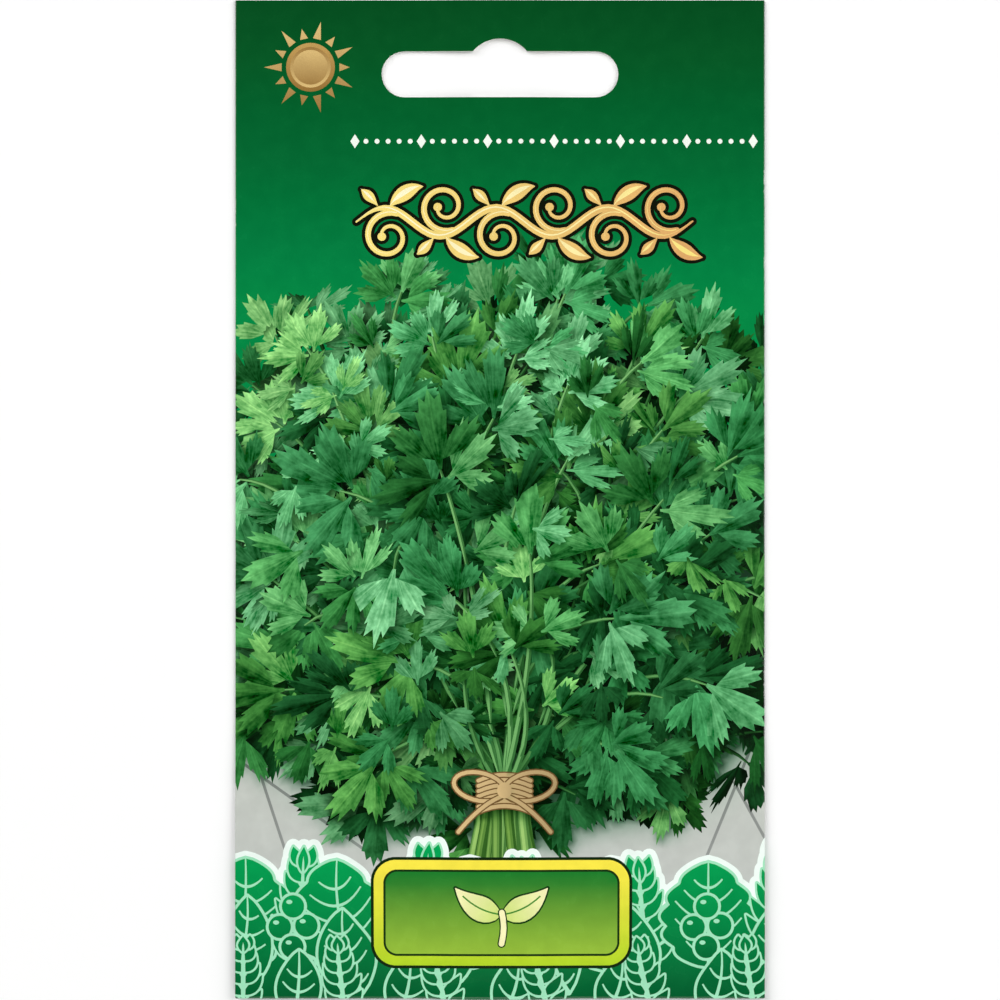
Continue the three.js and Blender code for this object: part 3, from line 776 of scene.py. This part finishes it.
def clear_of_lines(points, kept, cell):
    """Drops the points of a net that lie within about a cell of a kept line."""
    a, b = (kept[0][kept[1][:, end]] for end in (0, 1))
    steps = np.maximum(1, np.ceil(np.linalg.norm(b - a, axis=1) / cell * 1.5)).astype(int)
    t = np.concatenate([np.arange(n) / n for n in steps])[:, None]
    on = np.repeat(a, steps, 0) * (1 - t) + np.repeat(b, steps, 0) * t
    corner = np.array([-GIRTH - 2, FLAP_END - 2])
    marked = np.zeros(np.ceil(((GIRTH + 2, TOP + 2) - corner) / cell).astype(int) + 3, bool)
    i, j = np.floor((on - corner) / cell).astype(int).clip(1, np.array(marked.shape) - 2).T
    for di in (-1, 0, 1):
        for dj in (-1, 0, 1):
            marked[i + di, j + dj] = True
    i, j = np.floor((points - corner) / cell).astype(int).T
    return points[~marked[i, j]]


LEAF_FOOT, LEAF_HEAD = 20, 101
LEAF_NET, FRONT_NET, BACK_NET = 0.75, 1.5, 2.2
PRINT_CLEAR, INNER_CLEAR = 0.24, 0.7            # how far a net keeps off the kept lines
nets = [net(-FRONT + 0.5, FRONT, LEAF_FOOT, LEAF_HEAD, LEAF_NET),
        net(-FRONT + 0.8, FRONT, 1, LEAF_FOOT, FRONT_NET),
        net(-FRONT + 0.8, FRONT, LEAF_HEAD + 1, TOP - 0.5, FRONT_NET),
        net(-GIRTH + 1, -FRONT_EDGE - 1, FLAP_END + 1, TOP - 1, BACK_NET),
        net(FRONT_EDGE + 1, GIRTH - 1, FLAP_END + 1, TOP - 1, BACK_NET)]
loose = clear_of_lines(np.concatenate(nets), kept, PRINT_CLEAR)
flat, triangles, _ = cut(np.concatenate([kept[0], loose]), kept[1].tolist(), SHEET_MERGE)


def in_sheet(points):
    """Which points lie on the cut and punched sheet."""
    on = (np.abs(points[:, 0]) < GIRTH) & (points[:, 1] > FLAP_END) & (points[:, 1] < TOP)
    for g in SLOT_MIDDLES:
        on[inside(points, slot_outline(g))] = False
    return on


triangles = triangles[in_sheet(flat[triangles].mean(1))]
used, triangles = np.unique(triangles, return_inverse=True)
flat, triangles = flat[used], triangles.reshape(-1, 3)

# Which shape shows in each triangle, and the picture's depth in each cell
owner = owners(flat[triangles].mean(1))
NO_DEPTH = (-9.0, 0, 0)


def gathered(name, empty):
    """One number or row for each shape from its leaf, or empty where it has none."""
    return np.array([(shape["leaf"] or {}).get(name, empty) for shape in shapes], float)


planes = np.concatenate([gathered("depth", NO_DEPTH), [NO_DEPTH]])
plane = planes[top]
depth_of_cell = (plane[:, 0] + np.sum(plane[:, 1:] * cells, 1)).reshape(columns, lines)


def blurred(field, radius):
    """The field under a Gaussian of that radius in mm, by Fourier transform."""
    fx = np.fft.fftfreq(field.shape[0], CELL)[:, None]
    fy = np.fft.rfftfreq(field.shape[1], CELL)[None, :]
    passed = np.exp(-2 * (np.pi * radius) ** 2 * (fx ** 2 + fy ** 2))
    return np.fft.irfft2(np.fft.rfft2(field) * passed, field.shape)


def read(field, points):
    """The field at points, between its four nearest cells."""
    at = ((points - FIELD_LOW) / CELL - 0.5).clip(0, (columns - 1.001, lines - 1.001))
    i, j = np.floor(at).astype(int).T
    u, v = (at - np.floor(at)).T
    return ((field[i, j] * (1 - u) + field[i + 1, j] * u) * (1 - v)
            + (field[i, j + 1] * (1 - u) + field[i + 1, j + 1] * u) * v)


corner = flat[triangles].reshape(-1, 2)
shape_of = np.repeat(owner, 3)
start, end = (np.array([shape[key] for shape in shapes], float)[shape_of] for key in ("start", "end"))
run = end - start
share = (np.sum((corner - start) * run, 1) / np.sum(run * run, 1)).clip(0, 1)[:, None]
tints, fades = (np.array([shape[key] for shape in shapes])[shape_of] for key in ("tint", "fade"))
colour = tints * (1 - share) + fades * share
bare = shape_of < 0
colour[bare] = np.stack([np.interp(corner[bare, 1], GROUND_AT, GROUND[:, c]) for c in range(3)], -1)

plane = planes[shape_of]
deep = plane[:, 0] + np.sum(plane[:, 1:] * corner, 1)
shaded = np.array([shape["leaf"] is not None for shape in shapes])[shape_of] & ~bare
shade = np.ones(len(corner))
for radius, shift, full, most in ((0.35, 0.6, 1.8, 0.55), (1.3, 1.1, 4.6, 0.62), (4.5, 2.0, 10.0, 0.5)):
    over = read(blurred(depth_of_cell, radius), corner + shift * LIGHT[:2])
    shade *= 1 - most * ((over - deep) / full).clip(0, 1)
TONE = (1.5, 1.0, 1.3)                          # greens in shade lose red and blue faster than green
light = (gathered("light", 1.0)[shape_of] * shade)[:, None] ** TONE
colour[shaded] *= light[shaded]
shine = (gathered("shine", 0.0)[shape_of] * shade)[:, None]
colour = colour + shaded[:, None] * shine * ink(190, 214, 180) * 0.5
inverses = gathered("inverse", np.zeros((2, 2)))[shape_of]
bases = gathered("base", (0, 0))[shape_of]
local = np.einsum("nij,nj->ni", inverses, corner - bases)
is_leaf = np.array(["inverse" in (shape["leaf"] or {}) for shape in shapes])[shape_of] & ~bare
leaf_mark = np.column_stack([local, 1 + gathered("droop", 0.0)[shape_of], gathered("tilt", 0.0)[shape_of]])
leaf_mark = leaf_mark * is_leaf[:, None]

# The rim of the outer face, and the inner face that shares it
sides, _ = sides_of(triangles)
keys = sides[:, 0] * len(flat) + sides[:, 1]
rim = sides[~np.isin(keys, sides[:, 1] * len(flat) + sides[:, 0])]
rim_points, rim_links = np.unique(rim, return_inverse=True)
kept = kept_lines(flat[rim_points], rim_links.reshape(-1, 2), [])
loose = clear_of_lines(net(-GIRTH + 1, GIRTH - 1, FLAP_END + 1, TOP - 1, BACK_NET), kept, INNER_CLEAR)
inner_flat, inner_triangles, came_from = cut(np.concatenate([kept[0], loose]), kept[1].tolist(), INNER_MERGE)
inner_triangles = inner_triangles[in_sheet(inner_flat[inner_triangles].mean(1))]
number_of = {was: now for now, held in enumerate(came_from) for was in held}
rim_inside = dict(zip(rim_points.tolist(), (number_of[i] for i in range(len(rim_points)))))
inner_rim = np.array([[rim_inside[a], rim_inside[b]] for a, b in rim.tolist()]) + len(flat)
strip = np.concatenate([np.stack([rim[:, 1], rim[:, 0], inner_rim[:, 0]], -1),
                        np.stack([rim[:, 1], inner_rim[:, 0], inner_rim[:, 1]], -1)])


def facing(points, out):
    """The folded sheet's outward normal, from short steps along its girth and its height."""
    step = 0.02
    g, s = points.T
    girthwise = folded(g + step, s, out) - folded(g - step, s, out)
    upwards = folded(g, s + step, out) - folded(g, s - step, out)
    return unit(np.cross(girthwise, upwards))


def mesh_of(name, vertices, faces):
    """A mesh from vertices in mm and triangles, at the origin of the frame."""
    mesh = bpy.data.meshes.new(name)
    mesh.from_pydata((vertices * MM).tolist(), [], faces.tolist())
    mesh.update()
    made = bpy.data.objects.new(name, mesh)
    bpy.context.scene.collection.objects.link(made)
    return made


outside = folded(flat[:, 0], flat[:, 1], PAPER / 2)
within = folded(inner_flat[:, 0], inner_flat[:, 1], -PAPER / 2)
vertices = np.concatenate([outside, within])
faces = np.concatenate([triangles, inner_triangles[:, ::-1] + len(flat), strip])
packet = mesh_of("printed_packet", vertices, faces)
mesh = packet.data
corners_outside = 3 * len(triangles)
normals = np.zeros((3 * len(faces), 3))
normals[:corners_outside] = facing(flat, PAPER / 2)[triangles.ravel()]
strip_from = corners_outside + 3 * len(inner_triangles)
normals[corners_outside:strip_from] = -facing(inner_flat, -PAPER / 2)[inner_triangles[:, ::-1].ravel()]
a, b, c = (vertices[strip[:, k]] for k in range(3))
normals[strip_from:] = np.repeat(unit(np.cross(b - a, c - a) + 1e-12), 3, 0)
mesh.shade_smooth()
mesh.normals_split_custom_set(normals.tolist())
ink_colours = np.ones((3 * len(faces), 4))
ink_colours[:corners_outside, :3] = colour.clip(0, 1)
marks = np.zeros((3 * len(faces), 4))
marks[:corners_outside] = leaf_mark
for name, values in (("ink", ink_colours), ("leaf", marks)):
    mesh.attributes.new(name, "FLOAT_COLOR", "CORNER").data.foreach_set(
        "color", values.astype(np.float32).ravel())
both_flat = np.concatenate([flat, inner_flat])
on_front = np.abs(both_flat[:, 0]) < FRONT
full = on_front * bulge(both_flat[:, 0] * on_front, both_flat[:, 1]) / BULGE
mesh.attributes.new("flat", "FLOAT_VECTOR", "POINT").data.foreach_set(
    "vector", np.column_stack([both_flat, full]).astype(np.float32).ravel())
flat_map = mesh.uv_layers.new(name="OFBake")
spread = (both_flat - (-GIRTH, FLAP_END)) / (2 * GIRTH, TOP - FLAP_END)
uv = spread[faces.ravel()] * (0.996, 0.86) + (0.002, 0.002)
uv[corners_outside:strip_from] = uv[corners_outside:strip_from] * (1, 0.09) + (0, 0.87)
n = np.tile(np.arange(len(rim)), 2)[:, None] / len(rim) * 0.996
across_strip = np.broadcast_to((0.97, 0.97, 0.99), (len(n), 3))
uv[strip_from:] = np.stack([n + (0, 1 / len(rim), 1 / len(rim)), across_strip], -1).reshape(-1, 2)
flat_map.data.foreach_set("uv", uv.astype(np.float32).ravel())


# The finishes. Three effects are node groups: paper_fibre gives paper its fine uneven surface, worn_crease
# whitens the ink where the paper is folded or cut, and printed_leaf draws the veins of each leaf.
def group_of(name, inputs, outputs):
    """A shader node group with sockets (name, kind, default): its tree, its wiring, what it is given and
    what it gives back."""
    tree = bpy.data.node_groups.new(name, "ShaderNodeTree")
    for direction, sockets in (("INPUT", inputs), ("OUTPUT", outputs)):
        for socket_name, kind, value in sockets:
            socket = tree.interface.new_socket(socket_name, in_out=direction, socket_type="NodeSocket" + kind)
            if value is not None:
                socket.default_value = value
    given, result = tree.nodes.new("NodeGroupInput"), tree.nodes.new("NodeGroupOutput")
    return tree, Wiring(tree), given.outputs, result.inputs


class Wiring:
    """Adds nodes to a tree and links them in one call each."""

    def __init__(self, tree):
        self.tree = tree

    def feed(self, socket, value):
        """Links the socket from another one, or sets it to a value."""
        if isinstance(value, bpy.types.NodeSocket):
            self.tree.links.new(value, socket)
        else:
            socket.default_value = value

    def node(self, kind, values=(), **settings):
        """A node with its settings made, and each input in values fed."""
        made = self.tree.nodes.new("ShaderNode" + kind)
        for key, value in settings.items():
            setattr(made, key, value)
        for key, value in dict(values).items():
            self.feed(made.inputs[key], value)
        return made

    def maths(self, operation, a, b=0.0, c=0.0):
        """The result of a Math node on two or three numbers."""
        return self.node("Math", {0: a, 1: b, 2: c}, operation=operation).outputs[0]

    def times(self, a, b):
        """a times b."""
        return self.maths("MULTIPLY", a, b)

    def plus(self, a, b):
        """a and b together."""
        return self.maths("ADD", a, b)

    def minus(self, a, b):
        """a less b."""
        return self.maths("SUBTRACT", a, b)

    def joined(self, x, y, z=0.0):
        """Three numbers as a vector or a colour."""
        return self.node("CombineXYZ", {"X": x, "Y": y, "Z": z}).outputs[0]

    def noise(self, place, scale, detail=2.0, **more):
        """The grey of a noise at place."""
        values = {"Vector": place, "Scale": scale, "Detail": detail, **more}
        return self.node("TexNoise", values).outputs["Fac"]

    def bump(self, height, distance, strength=1.0, **more):
        """The normal of a surface that height raises by up to distance, in metres."""
        values = {"Height": height, "Distance": distance, "Strength": strength, **more}
        return self.node("Bump", values).outputs["Normal"]

    def ramp(self, value, low, high, to_low=0.0, to_high=1.0):
        """value eased from low..high to to_low..to_high."""
        return self.node("MapRange", {"Value": value, "From Min": low, "From Max": high, "To Min": to_low,
                                      "To Max": to_high}, interpolation_type="SMOOTHSTEP").outputs["Result"]

    def mix(self, share, a, b, blend="MIX"):
        """Two colours mixed."""
        return self.node("Mix", {0: share, 6: a, 7: b}, data_type="RGBA", blend_type=blend).outputs[2]


def material_of(name):
    """A new material with its wiring, its Principled shader and its Object coordinates."""
    made = bpy.data.materials.new(name)
    made.use_nodes = True
    wires = Wiring(made.node_tree)
    return made, wires, made.node_tree.nodes["Principled BSDF"], wires.node("TexCoord").outputs["Object"]


def shade_with(wires, shader, **values):
    """Feeds the shader's inputs, named with _ for each space."""
    for key, value in values.items():
        wires.feed(shader.inputs[key.replace("_", " ")], value)


fibre, w, given, result = group_of(
    "paper_fibre", [("Place", "Vector", None), ("Scale", "Float", 1.0), ("Height", "Float", 0.5),
                    ("Normal", "Vector", None)],
    [("Cloud", "Float", None), ("Normal", "Vector", None)])
fine = w.noise(given["Place"], w.times(given["Scale"], 3800.0), 3.0, Roughness=0.6)
w.feed(result["Cloud"], w.noise(given["Place"], w.times(given["Scale"], 420.0)))
w.feed(result["Normal"], w.bump(w.times(fine, given["Height"]), 0.00001, Normal=given["Normal"]))

worn, w, given, result = group_of(
    "worn_crease", [("Place", "Vector", None), ("Crease", "Float", 0.0), ("Amount", "Float", 0.5)],
    [("Worn", "Float", None)])
chips = w.noise(given["Place"], 2300.0, 4.0, Roughness=0.7)
runs = w.noise(given["Place"], 160.0)
reach = w.times(given["Crease"], w.times(w.ramp(runs, 0.38, 0.72), given["Amount"]))
w.feed(result["Worn"], w.ramp(w.plus(reach, w.times(chips, 0.55)), 0.62, 0.86))

# Printed face: the inks under a gloss coat that is scuffed at the folds. Each printed leaf has a rib and
# slanted veins on its three lobes, and is lit by how it tilts and droops, with streaks, waves and specks.
veins, w, given, result = group_of(
    "printed_leaf", [("Ink", "Color", None), ("Leaf", "Vector", None), ("Tilt", "Float", 0.0),
                     ("Place", "Vector", None)],
    [("Ink", "Color", None)])
p, q, mark = w.node("SeparateXYZ", {"Vector": given["Leaf"]}).outputs
is_leaflet = w.maths("GREATER_THAN", mark, 0.3)
droop = w.minus(mark, 1.0)
turn = w.maths("ARCTAN2", p, q)
nearest = w.maths("ROUND", w.maths("DIVIDE", turn, float(LOBE_ANGLE)))
lobe = w.maths("MINIMUM", w.maths("MAXIMUM", nearest, -1.0), 1.0)
off = w.minus(turn, w.times(lobe, float(LOBE_ANGLE)))
far = w.node("VectorMath", {0: w.joined(p, q)}, operation="LENGTH").outputs["Value"]
along = w.times(far, w.maths("COSINE", off))
aside = w.times(far, w.maths("SINE", off))
apart = w.maths("ABSOLUTE", aside)
rib = w.ramp(apart, 0.003, 0.017, 1.0, 0.0)
chevron = w.maths("FRACT", w.times(w.minus(along, w.times(apart, 1.3)), 6.0))
branch = w.ramp(w.maths("ABSOLUTE", w.minus(chevron, 0.5)), 0.0, 0.16, 1.0, 0.0)
branch = w.times(branch, w.ramp(apart, 0.0, 0.18, 1.0, 0.2))
quilt = w.maths("SINE", w.times(chevron, 6.2832))
lift = w.times(w.ramp(aside, -0.05, 0.05, -1.0, 1.0), given["Tilt"])
lift = w.plus(lift, w.times(w.ramp(far, 0.25, 1.0, -1.0, 1.0), w.plus(droop, 0.16)))
lift = w.plus(lift, w.times(quilt, 0.04))
streaks = w.noise(w.joined(w.times(turn, 9.0), w.times(far, 2.2), w.times(droop, 60.0)), 1.6, 3.0)
waves = w.noise(given["Place"], 520.0)
specks = w.noise(given["Place"], 2600.0)
for pattern, most in ((streaks, 0.2), (waves, 0.24), (specks, 0.08)):
    lift = w.plus(lift, w.ramp(pattern, 0.3, 0.7, -most, most))
lift = w.times(lift, is_leaflet)
toned = w.joined(*(w.maths("MULTIPLY_ADD", lift, tone, 1.0) for tone in TONE))
lit = w.mix(1.0, given["Ink"], toned, "MULTIPLY")
vein = w.maths("MAXIMUM", w.times(rib, 0.4), w.times(branch, 0.13))
pale = w.mix(1.0, lit, (2.1, 1.6, 1.8, 1), "MULTIPLY")
w.feed(result["Ink"], w.mix(w.times(vein, is_leaflet), lit, pale))

print_face, w, shader, place = material_of("gloss_print")
inked = w.node("Attribute", attribute_name="ink").outputs["Color"]
leaf_at = w.node("Attribute", attribute_name="leaf").outputs
drawn = w.node("Group", {"Ink": inked, "Leaf": leaf_at["Vector"], "Tilt": leaf_at["Alpha"], "Place": place},
               node_tree=veins).outputs["Ink"]
stock = w.node("Group", {"Place": place, "Height": 0.35}, node_tree=fibre).outputs
flat_at = w.node("Attribute", attribute_name="flat").outputs["Vector"]
girth_at, height_at, full_at = w.node("SeparateXYZ", {"Vector": flat_at}).outputs
girth_at = w.maths("ABSOLUTE", girth_at)
side_fold = w.maths("ABSOLUTE", w.minus(girth_at, FRONT + FOLD_RUN / 2))
foot_fold = w.maths("ABSOLUTE", w.plus(height_at, np.pi * FOLD_ARC / 2))
cut_edge = w.maths("MINIMUM", w.minus(TOP, height_at), w.minus(GIRTH, girth_at))
creased = w.maths("MAXIMUM", w.ramp(w.maths("MINIMUM", side_fold, foot_fold), 0.0, 0.42, 1.0, 0.0),
                  w.ramp(cut_edge, 0.0, 0.22, 0.9, 0.0))
scuffed = w.node("Group", {"Place": place, "Crease": creased, "Amount": 0.5}, node_tree=worn).outputs["Worn"]
lumps = w.node("TexVoronoi", {"Vector": place, "Scale": 420.0, "Smoothness": 0.8}, feature="SMOOTH_F1")
pressed = w.times(w.ramp(lumps.outputs["Distance"], 0.1, 0.75, 1.0, 0.0), w.ramp(full_at, 0.35, 0.95))
mottle = w.ramp(stock["Cloud"], 0.3, 0.7, 0.965, 1.035)
mottled = w.mix(1.0, drawn, w.joined(mottle, mottle, mottle), "MULTIPLY")
faded = w.mix(w.times(scuffed, 0.85), mottled, (0.86, 0.86, 0.82, 1))
shade_with(w, shader, Base_Color=faded, Normal=w.bump(pressed, 0.00006, Normal=stock["Normal"]),
           Coat_Roughness=0.16, Coat_IOR=1.46, IOR=1.45, Specular_IOR_Level=0.1,
           Roughness=w.plus(w.ramp(stock["Cloud"], 0.3, 0.7, 0.22, 0.28), w.times(scuffed, 0.4)),
           Coat_Weight=w.minus(0.42, w.times(scuffed, 0.4)))

# Plain face: the uncoated inside of the sheet and its cut edges, off-white and cloudy, with a coarser fibre
# than the coated outside.
plain_face, w, shader, place = material_of("uncoated_paper")
stock = w.node("Group", {"Place": place, "Height": 1.6}, node_tree=fibre).outputs
shade_with(w, shader, Base_Color=w.mix(stock["Cloud"], (0.83, 0.82, 0.77, 1), (0.93, 0.925, 0.89, 1)),
           Normal=stock["Normal"], Roughness=w.ramp(stock["Cloud"], 0.3, 0.7, 0.8, 0.92))

for made in (print_face, plain_face):
    mesh.materials.append(made)
slots = np.ones(len(faces), np.int32)
slots[:len(triangles)] = 0
mesh.polygons.foreach_set("material_index", slots)
mesh.update()
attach(packet, "root")
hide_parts("packet_sheet")

# The adhesive: thin dried films in the head, the back seam and the foot, which hold the folded sheet shut.
# They are cream and cloudy where they were pressed out.
dried, w, shader, place = material_of("dried_adhesive")
smear = w.noise(place, 260.0, 4.0, Distortion=0.8)
drops = w.node("TexVoronoi", {"Vector": place, "Scale": 700.0}).outputs["Distance"]
shade_with(w, shader, Base_Color=w.mix(smear, (0.74, 0.68, 0.52, 1), (0.92, 0.89, 0.80, 1)),
           Roughness=w.ramp(smear, 0.3, 0.7, 0.32, 0.58), Normal=w.bump(drops, 0.00002, 0.6))
for name in ("head_glue", "seam_glue", "seam_glue_over_slot", "flap_glue"):
    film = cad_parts[name]
    film.data.materials.clear()
    film.data.materials.append(dried)

# The seeds: ribbed and curved, dry and grey-brown. They lie loose in the pouch, settled flat on one another
# in up to two layers, wherever it bulges enough to hold them.
SEED = (1.15, 2.7, 0.85)                       # width, length and thickness
SEED_STEP = (1.62, 2.95)                        # between seeds across the packet and up it
HEAP_HALF, HEAP_MIDDLE = (26, 34.5), 47
SEED_CLEAR = 0.12
AROUND, ALONG = 10, 7


def seed_grid():
    """One seed about the origin, 1 long: rings of radius sin(pi t)^0.75 along a line that t (1 - t) bends,
    with five ribs round them, closed to a point at either end."""
    t = (np.arange(1, ALONG) / ALONG)[:, None]
    a = 2 * np.pi * np.arange(AROUND) / AROUND
    radius = 0.5 * np.sin(np.pi * t) ** 0.75 * (1 + 0.1 * np.cos(5 * a)) * (1.15 - 0.35 * t)
    bend = 0.36 * t * (1 - t)
    level_t = np.broadcast_to(t - 0.5, radius.shape)
    rings = np.stack([radius * np.cos(a) + bend, level_t, radius * np.sin(a)], -1)
    points = np.concatenate([rings.reshape(-1, 3), [(0, -0.5, 0), (0, 0.5, 0)]])
    i, j = np.meshgrid(np.arange(ALONG - 2), np.arange(AROUND), indexing="ij")
    here, there = i * AROUND + j, i * AROUND + (j + 1) % AROUND
    quads = np.stack([here, there, there + AROUND, here, there + AROUND, here + AROUND], -1).reshape(-1, 3)
    ring = np.arange(AROUND)
    after = (ring + 1) % AROUND
    last = (ALONG - 2) * AROUND
    tail = np.full(AROUND, len(points) - 2)
    return points, np.concatenate([quads, np.stack([tail, after, ring], -1),
                                   np.stack([tail + 1, last + ring, last + after], -1)])


seed_points, seed_faces = seed_grid()
columns_at = np.arange(-HEAP_HALF[0], HEAP_HALF[0], SEED_STEP[0])
rows_at = np.arange(HEAP_MIDDLE - HEAP_HALF[1], HEAP_MIDDLE + HEAP_HALF[1], SEED_STEP[1])
x, s = (v.ravel() for v in np.meshgrid(columns_at, rows_at, indexing="ij"))
s = s + (np.round(x / SEED_STEP[0]) % 2) * SEED_STEP[1] / 2
x = x + random.uniform(-0.1, 0.1, len(x))
s = s + random.uniform(-0.12, 0.12, len(s))
room = np.min([bulge(x + dx, s + ds) + ripple(x + dx, s + ds) + PITCH * over_lap(x + dx) - PAPER
               for dx in (-1.2, 1.2) for ds in (-1.4, 1.4)], 0)
heap = np.hypot(x / HEAP_HALF[0], (s - HEAP_MIDDLE) / HEAP_HALF[1]) < 0.96
layers = np.floor((room - SEED_CLEAR) / (SEED[2] + SEED_CLEAR)).clip(0, 2) * heap
seeds_at, seed_height = [], []
for layer in (0, 1):
    held = layers > layer
    seeds_at.append(np.stack([x[held], s[held]], -1))
    floor = PAPER + PITCH * inner_ply(x[held]) * (x[held] < LAP / 2)
    seed_height.append(floor + SEED_CLEAR + SEED[2] / 2 + layer * (SEED[2] + SEED_CLEAR))
seeds_at, seed_height = np.concatenate(seeds_at), np.concatenate(seed_height)
count = len(seeds_at)
aim = 0.35 * np.sin(seeds_at[:, 0] / 7 + seeds_at[:, 1] / 11) + random.normal(0, 0.08, count)
scale = np.array(SEED) * random.uniform(0.86, 1.0, (count, 1))
body = seed_points[None] * scale[:, None]
c, v = np.cos(aim)[:, None], np.sin(aim)[:, None]
seed_x = body[..., 0] * c - body[..., 1] * v + seeds_at[:, :1]
seed_s = body[..., 0] * v + body[..., 1] * c + seeds_at[:, 1:]
seed_z = body[..., 2] + seed_height[:, None] + over_flap(seeds_at[:, 1:])
seed_vertices = np.stack([seed_x, FOLD_Y + seed_s, seed_z], -1).reshape(-1, 3)
seed_all = (seed_faces[None] + len(seed_points) * np.arange(count)[:, None, None]).reshape(-1, 3)
seeds = mesh_of("loose_seeds", seed_vertices, seed_all)
seeds.data.shade_smooth()
seeds.data.attributes.new("tone", "FLOAT", "POINT").data.foreach_set(
    "value", np.repeat(random.random(count), len(seed_points)).astype(np.float32))
husk, w, shader, place = material_of("seed_husk")
tone = w.node("Attribute", attribute_name="tone").outputs["Fac"]
grain = w.noise(place, 2600.0, 4.0, Roughness=0.65)
coat = w.mix(tone, (0.13, 0.10, 0.055, 1), (0.31, 0.25, 0.14, 1))
coat = w.mix(w.ramp(grain, 0.4, 0.7), coat, (0.42, 0.37, 0.25, 1))
shade_with(w, shader, Base_Color=coat, Roughness=w.ramp(grain, 0.3, 0.7, 0.7, 0.92),
           Normal=w.bump(grain, 0.00004, 0.8))
seeds.data.materials.append(husk)
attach(seeds, "root")
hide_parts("seeds")

# The pale table, three square lamps about it, and the camera, which looks straight down on the packet as the
# photograph does.
TABLE_HALF, TABLE_TOP = 1.2, -0.0001            # in metres
corners = [(x, y, TABLE_TOP) for x, y in block(-TABLE_HALF, TABLE_HALF, -TABLE_HALF, TABLE_HALF)]
table_mesh = bpy.data.meshes.new("table")
table_mesh.from_pydata(corners, [], [(0, 1, 2, 3)])
table = bpy.data.objects.new("table", table_mesh)
bpy.context.scene.collection.objects.link(table)
pale, w, shader, place = material_of("pale_table")
cast = w.noise(place, 3.0)
shade_with(w, shader, Base_Color=w.mix(cast, (0.965, 0.965, 0.96, 1), (0.98, 0.98, 0.975, 1)),
           Roughness=0.7, Specular_IOR_Level=0.2)
table_mesh.materials.append(pale)


def softbox(name, at, size, watts):
    """A square lamp that faces the packet."""
    lamp = bpy.data.lights.new(name, "AREA")
    lamp.shape, lamp.size, lamp.energy = "SQUARE", size, watts
    made = bpy.data.objects.new(name, lamp)
    made.location = at
    made.rotation_euler = (-Vector(at)).to_track_quat("-Z", "Y").to_euler()
    bpy.context.scene.collection.objects.link(made)


softbox("key", (-0.88, 0.7, 0.82), 1.15, 16.1)
softbox("fill", (1.05, 0.34, 0.8), 1.15, 13.3)
softbox("foot", (0.1, -1.2, 0.78), 1.15, 12.3)
world = bpy.data.worlds.new("room")
bpy.context.scene.world = world
world.use_nodes = True
world.node_tree.nodes["Background"].inputs["Color"].default_value = (0.9, 0.95, 1.0, 1)
world.node_tree.nodes["Background"].inputs["Strength"].default_value = 0.02
bpy.context.scene.view_settings.view_transform = "Standard"

LENS, SENSOR = 105, 36
PACKET_SHARE = 0.9985                           # of the picture's height that the packet fills
view = bpy.data.cameras.new("camera")
view.lens, view.sensor_width = LENS, SENSOR
camera = bpy.data.objects.new("camera", view)
camera.location = (0, 0, HEIGHT * MM / PACKET_SHARE * LENS / SENSOR)
bpy.context.scene.collection.objects.link(camera)
bpy.context.scene.camera = camera
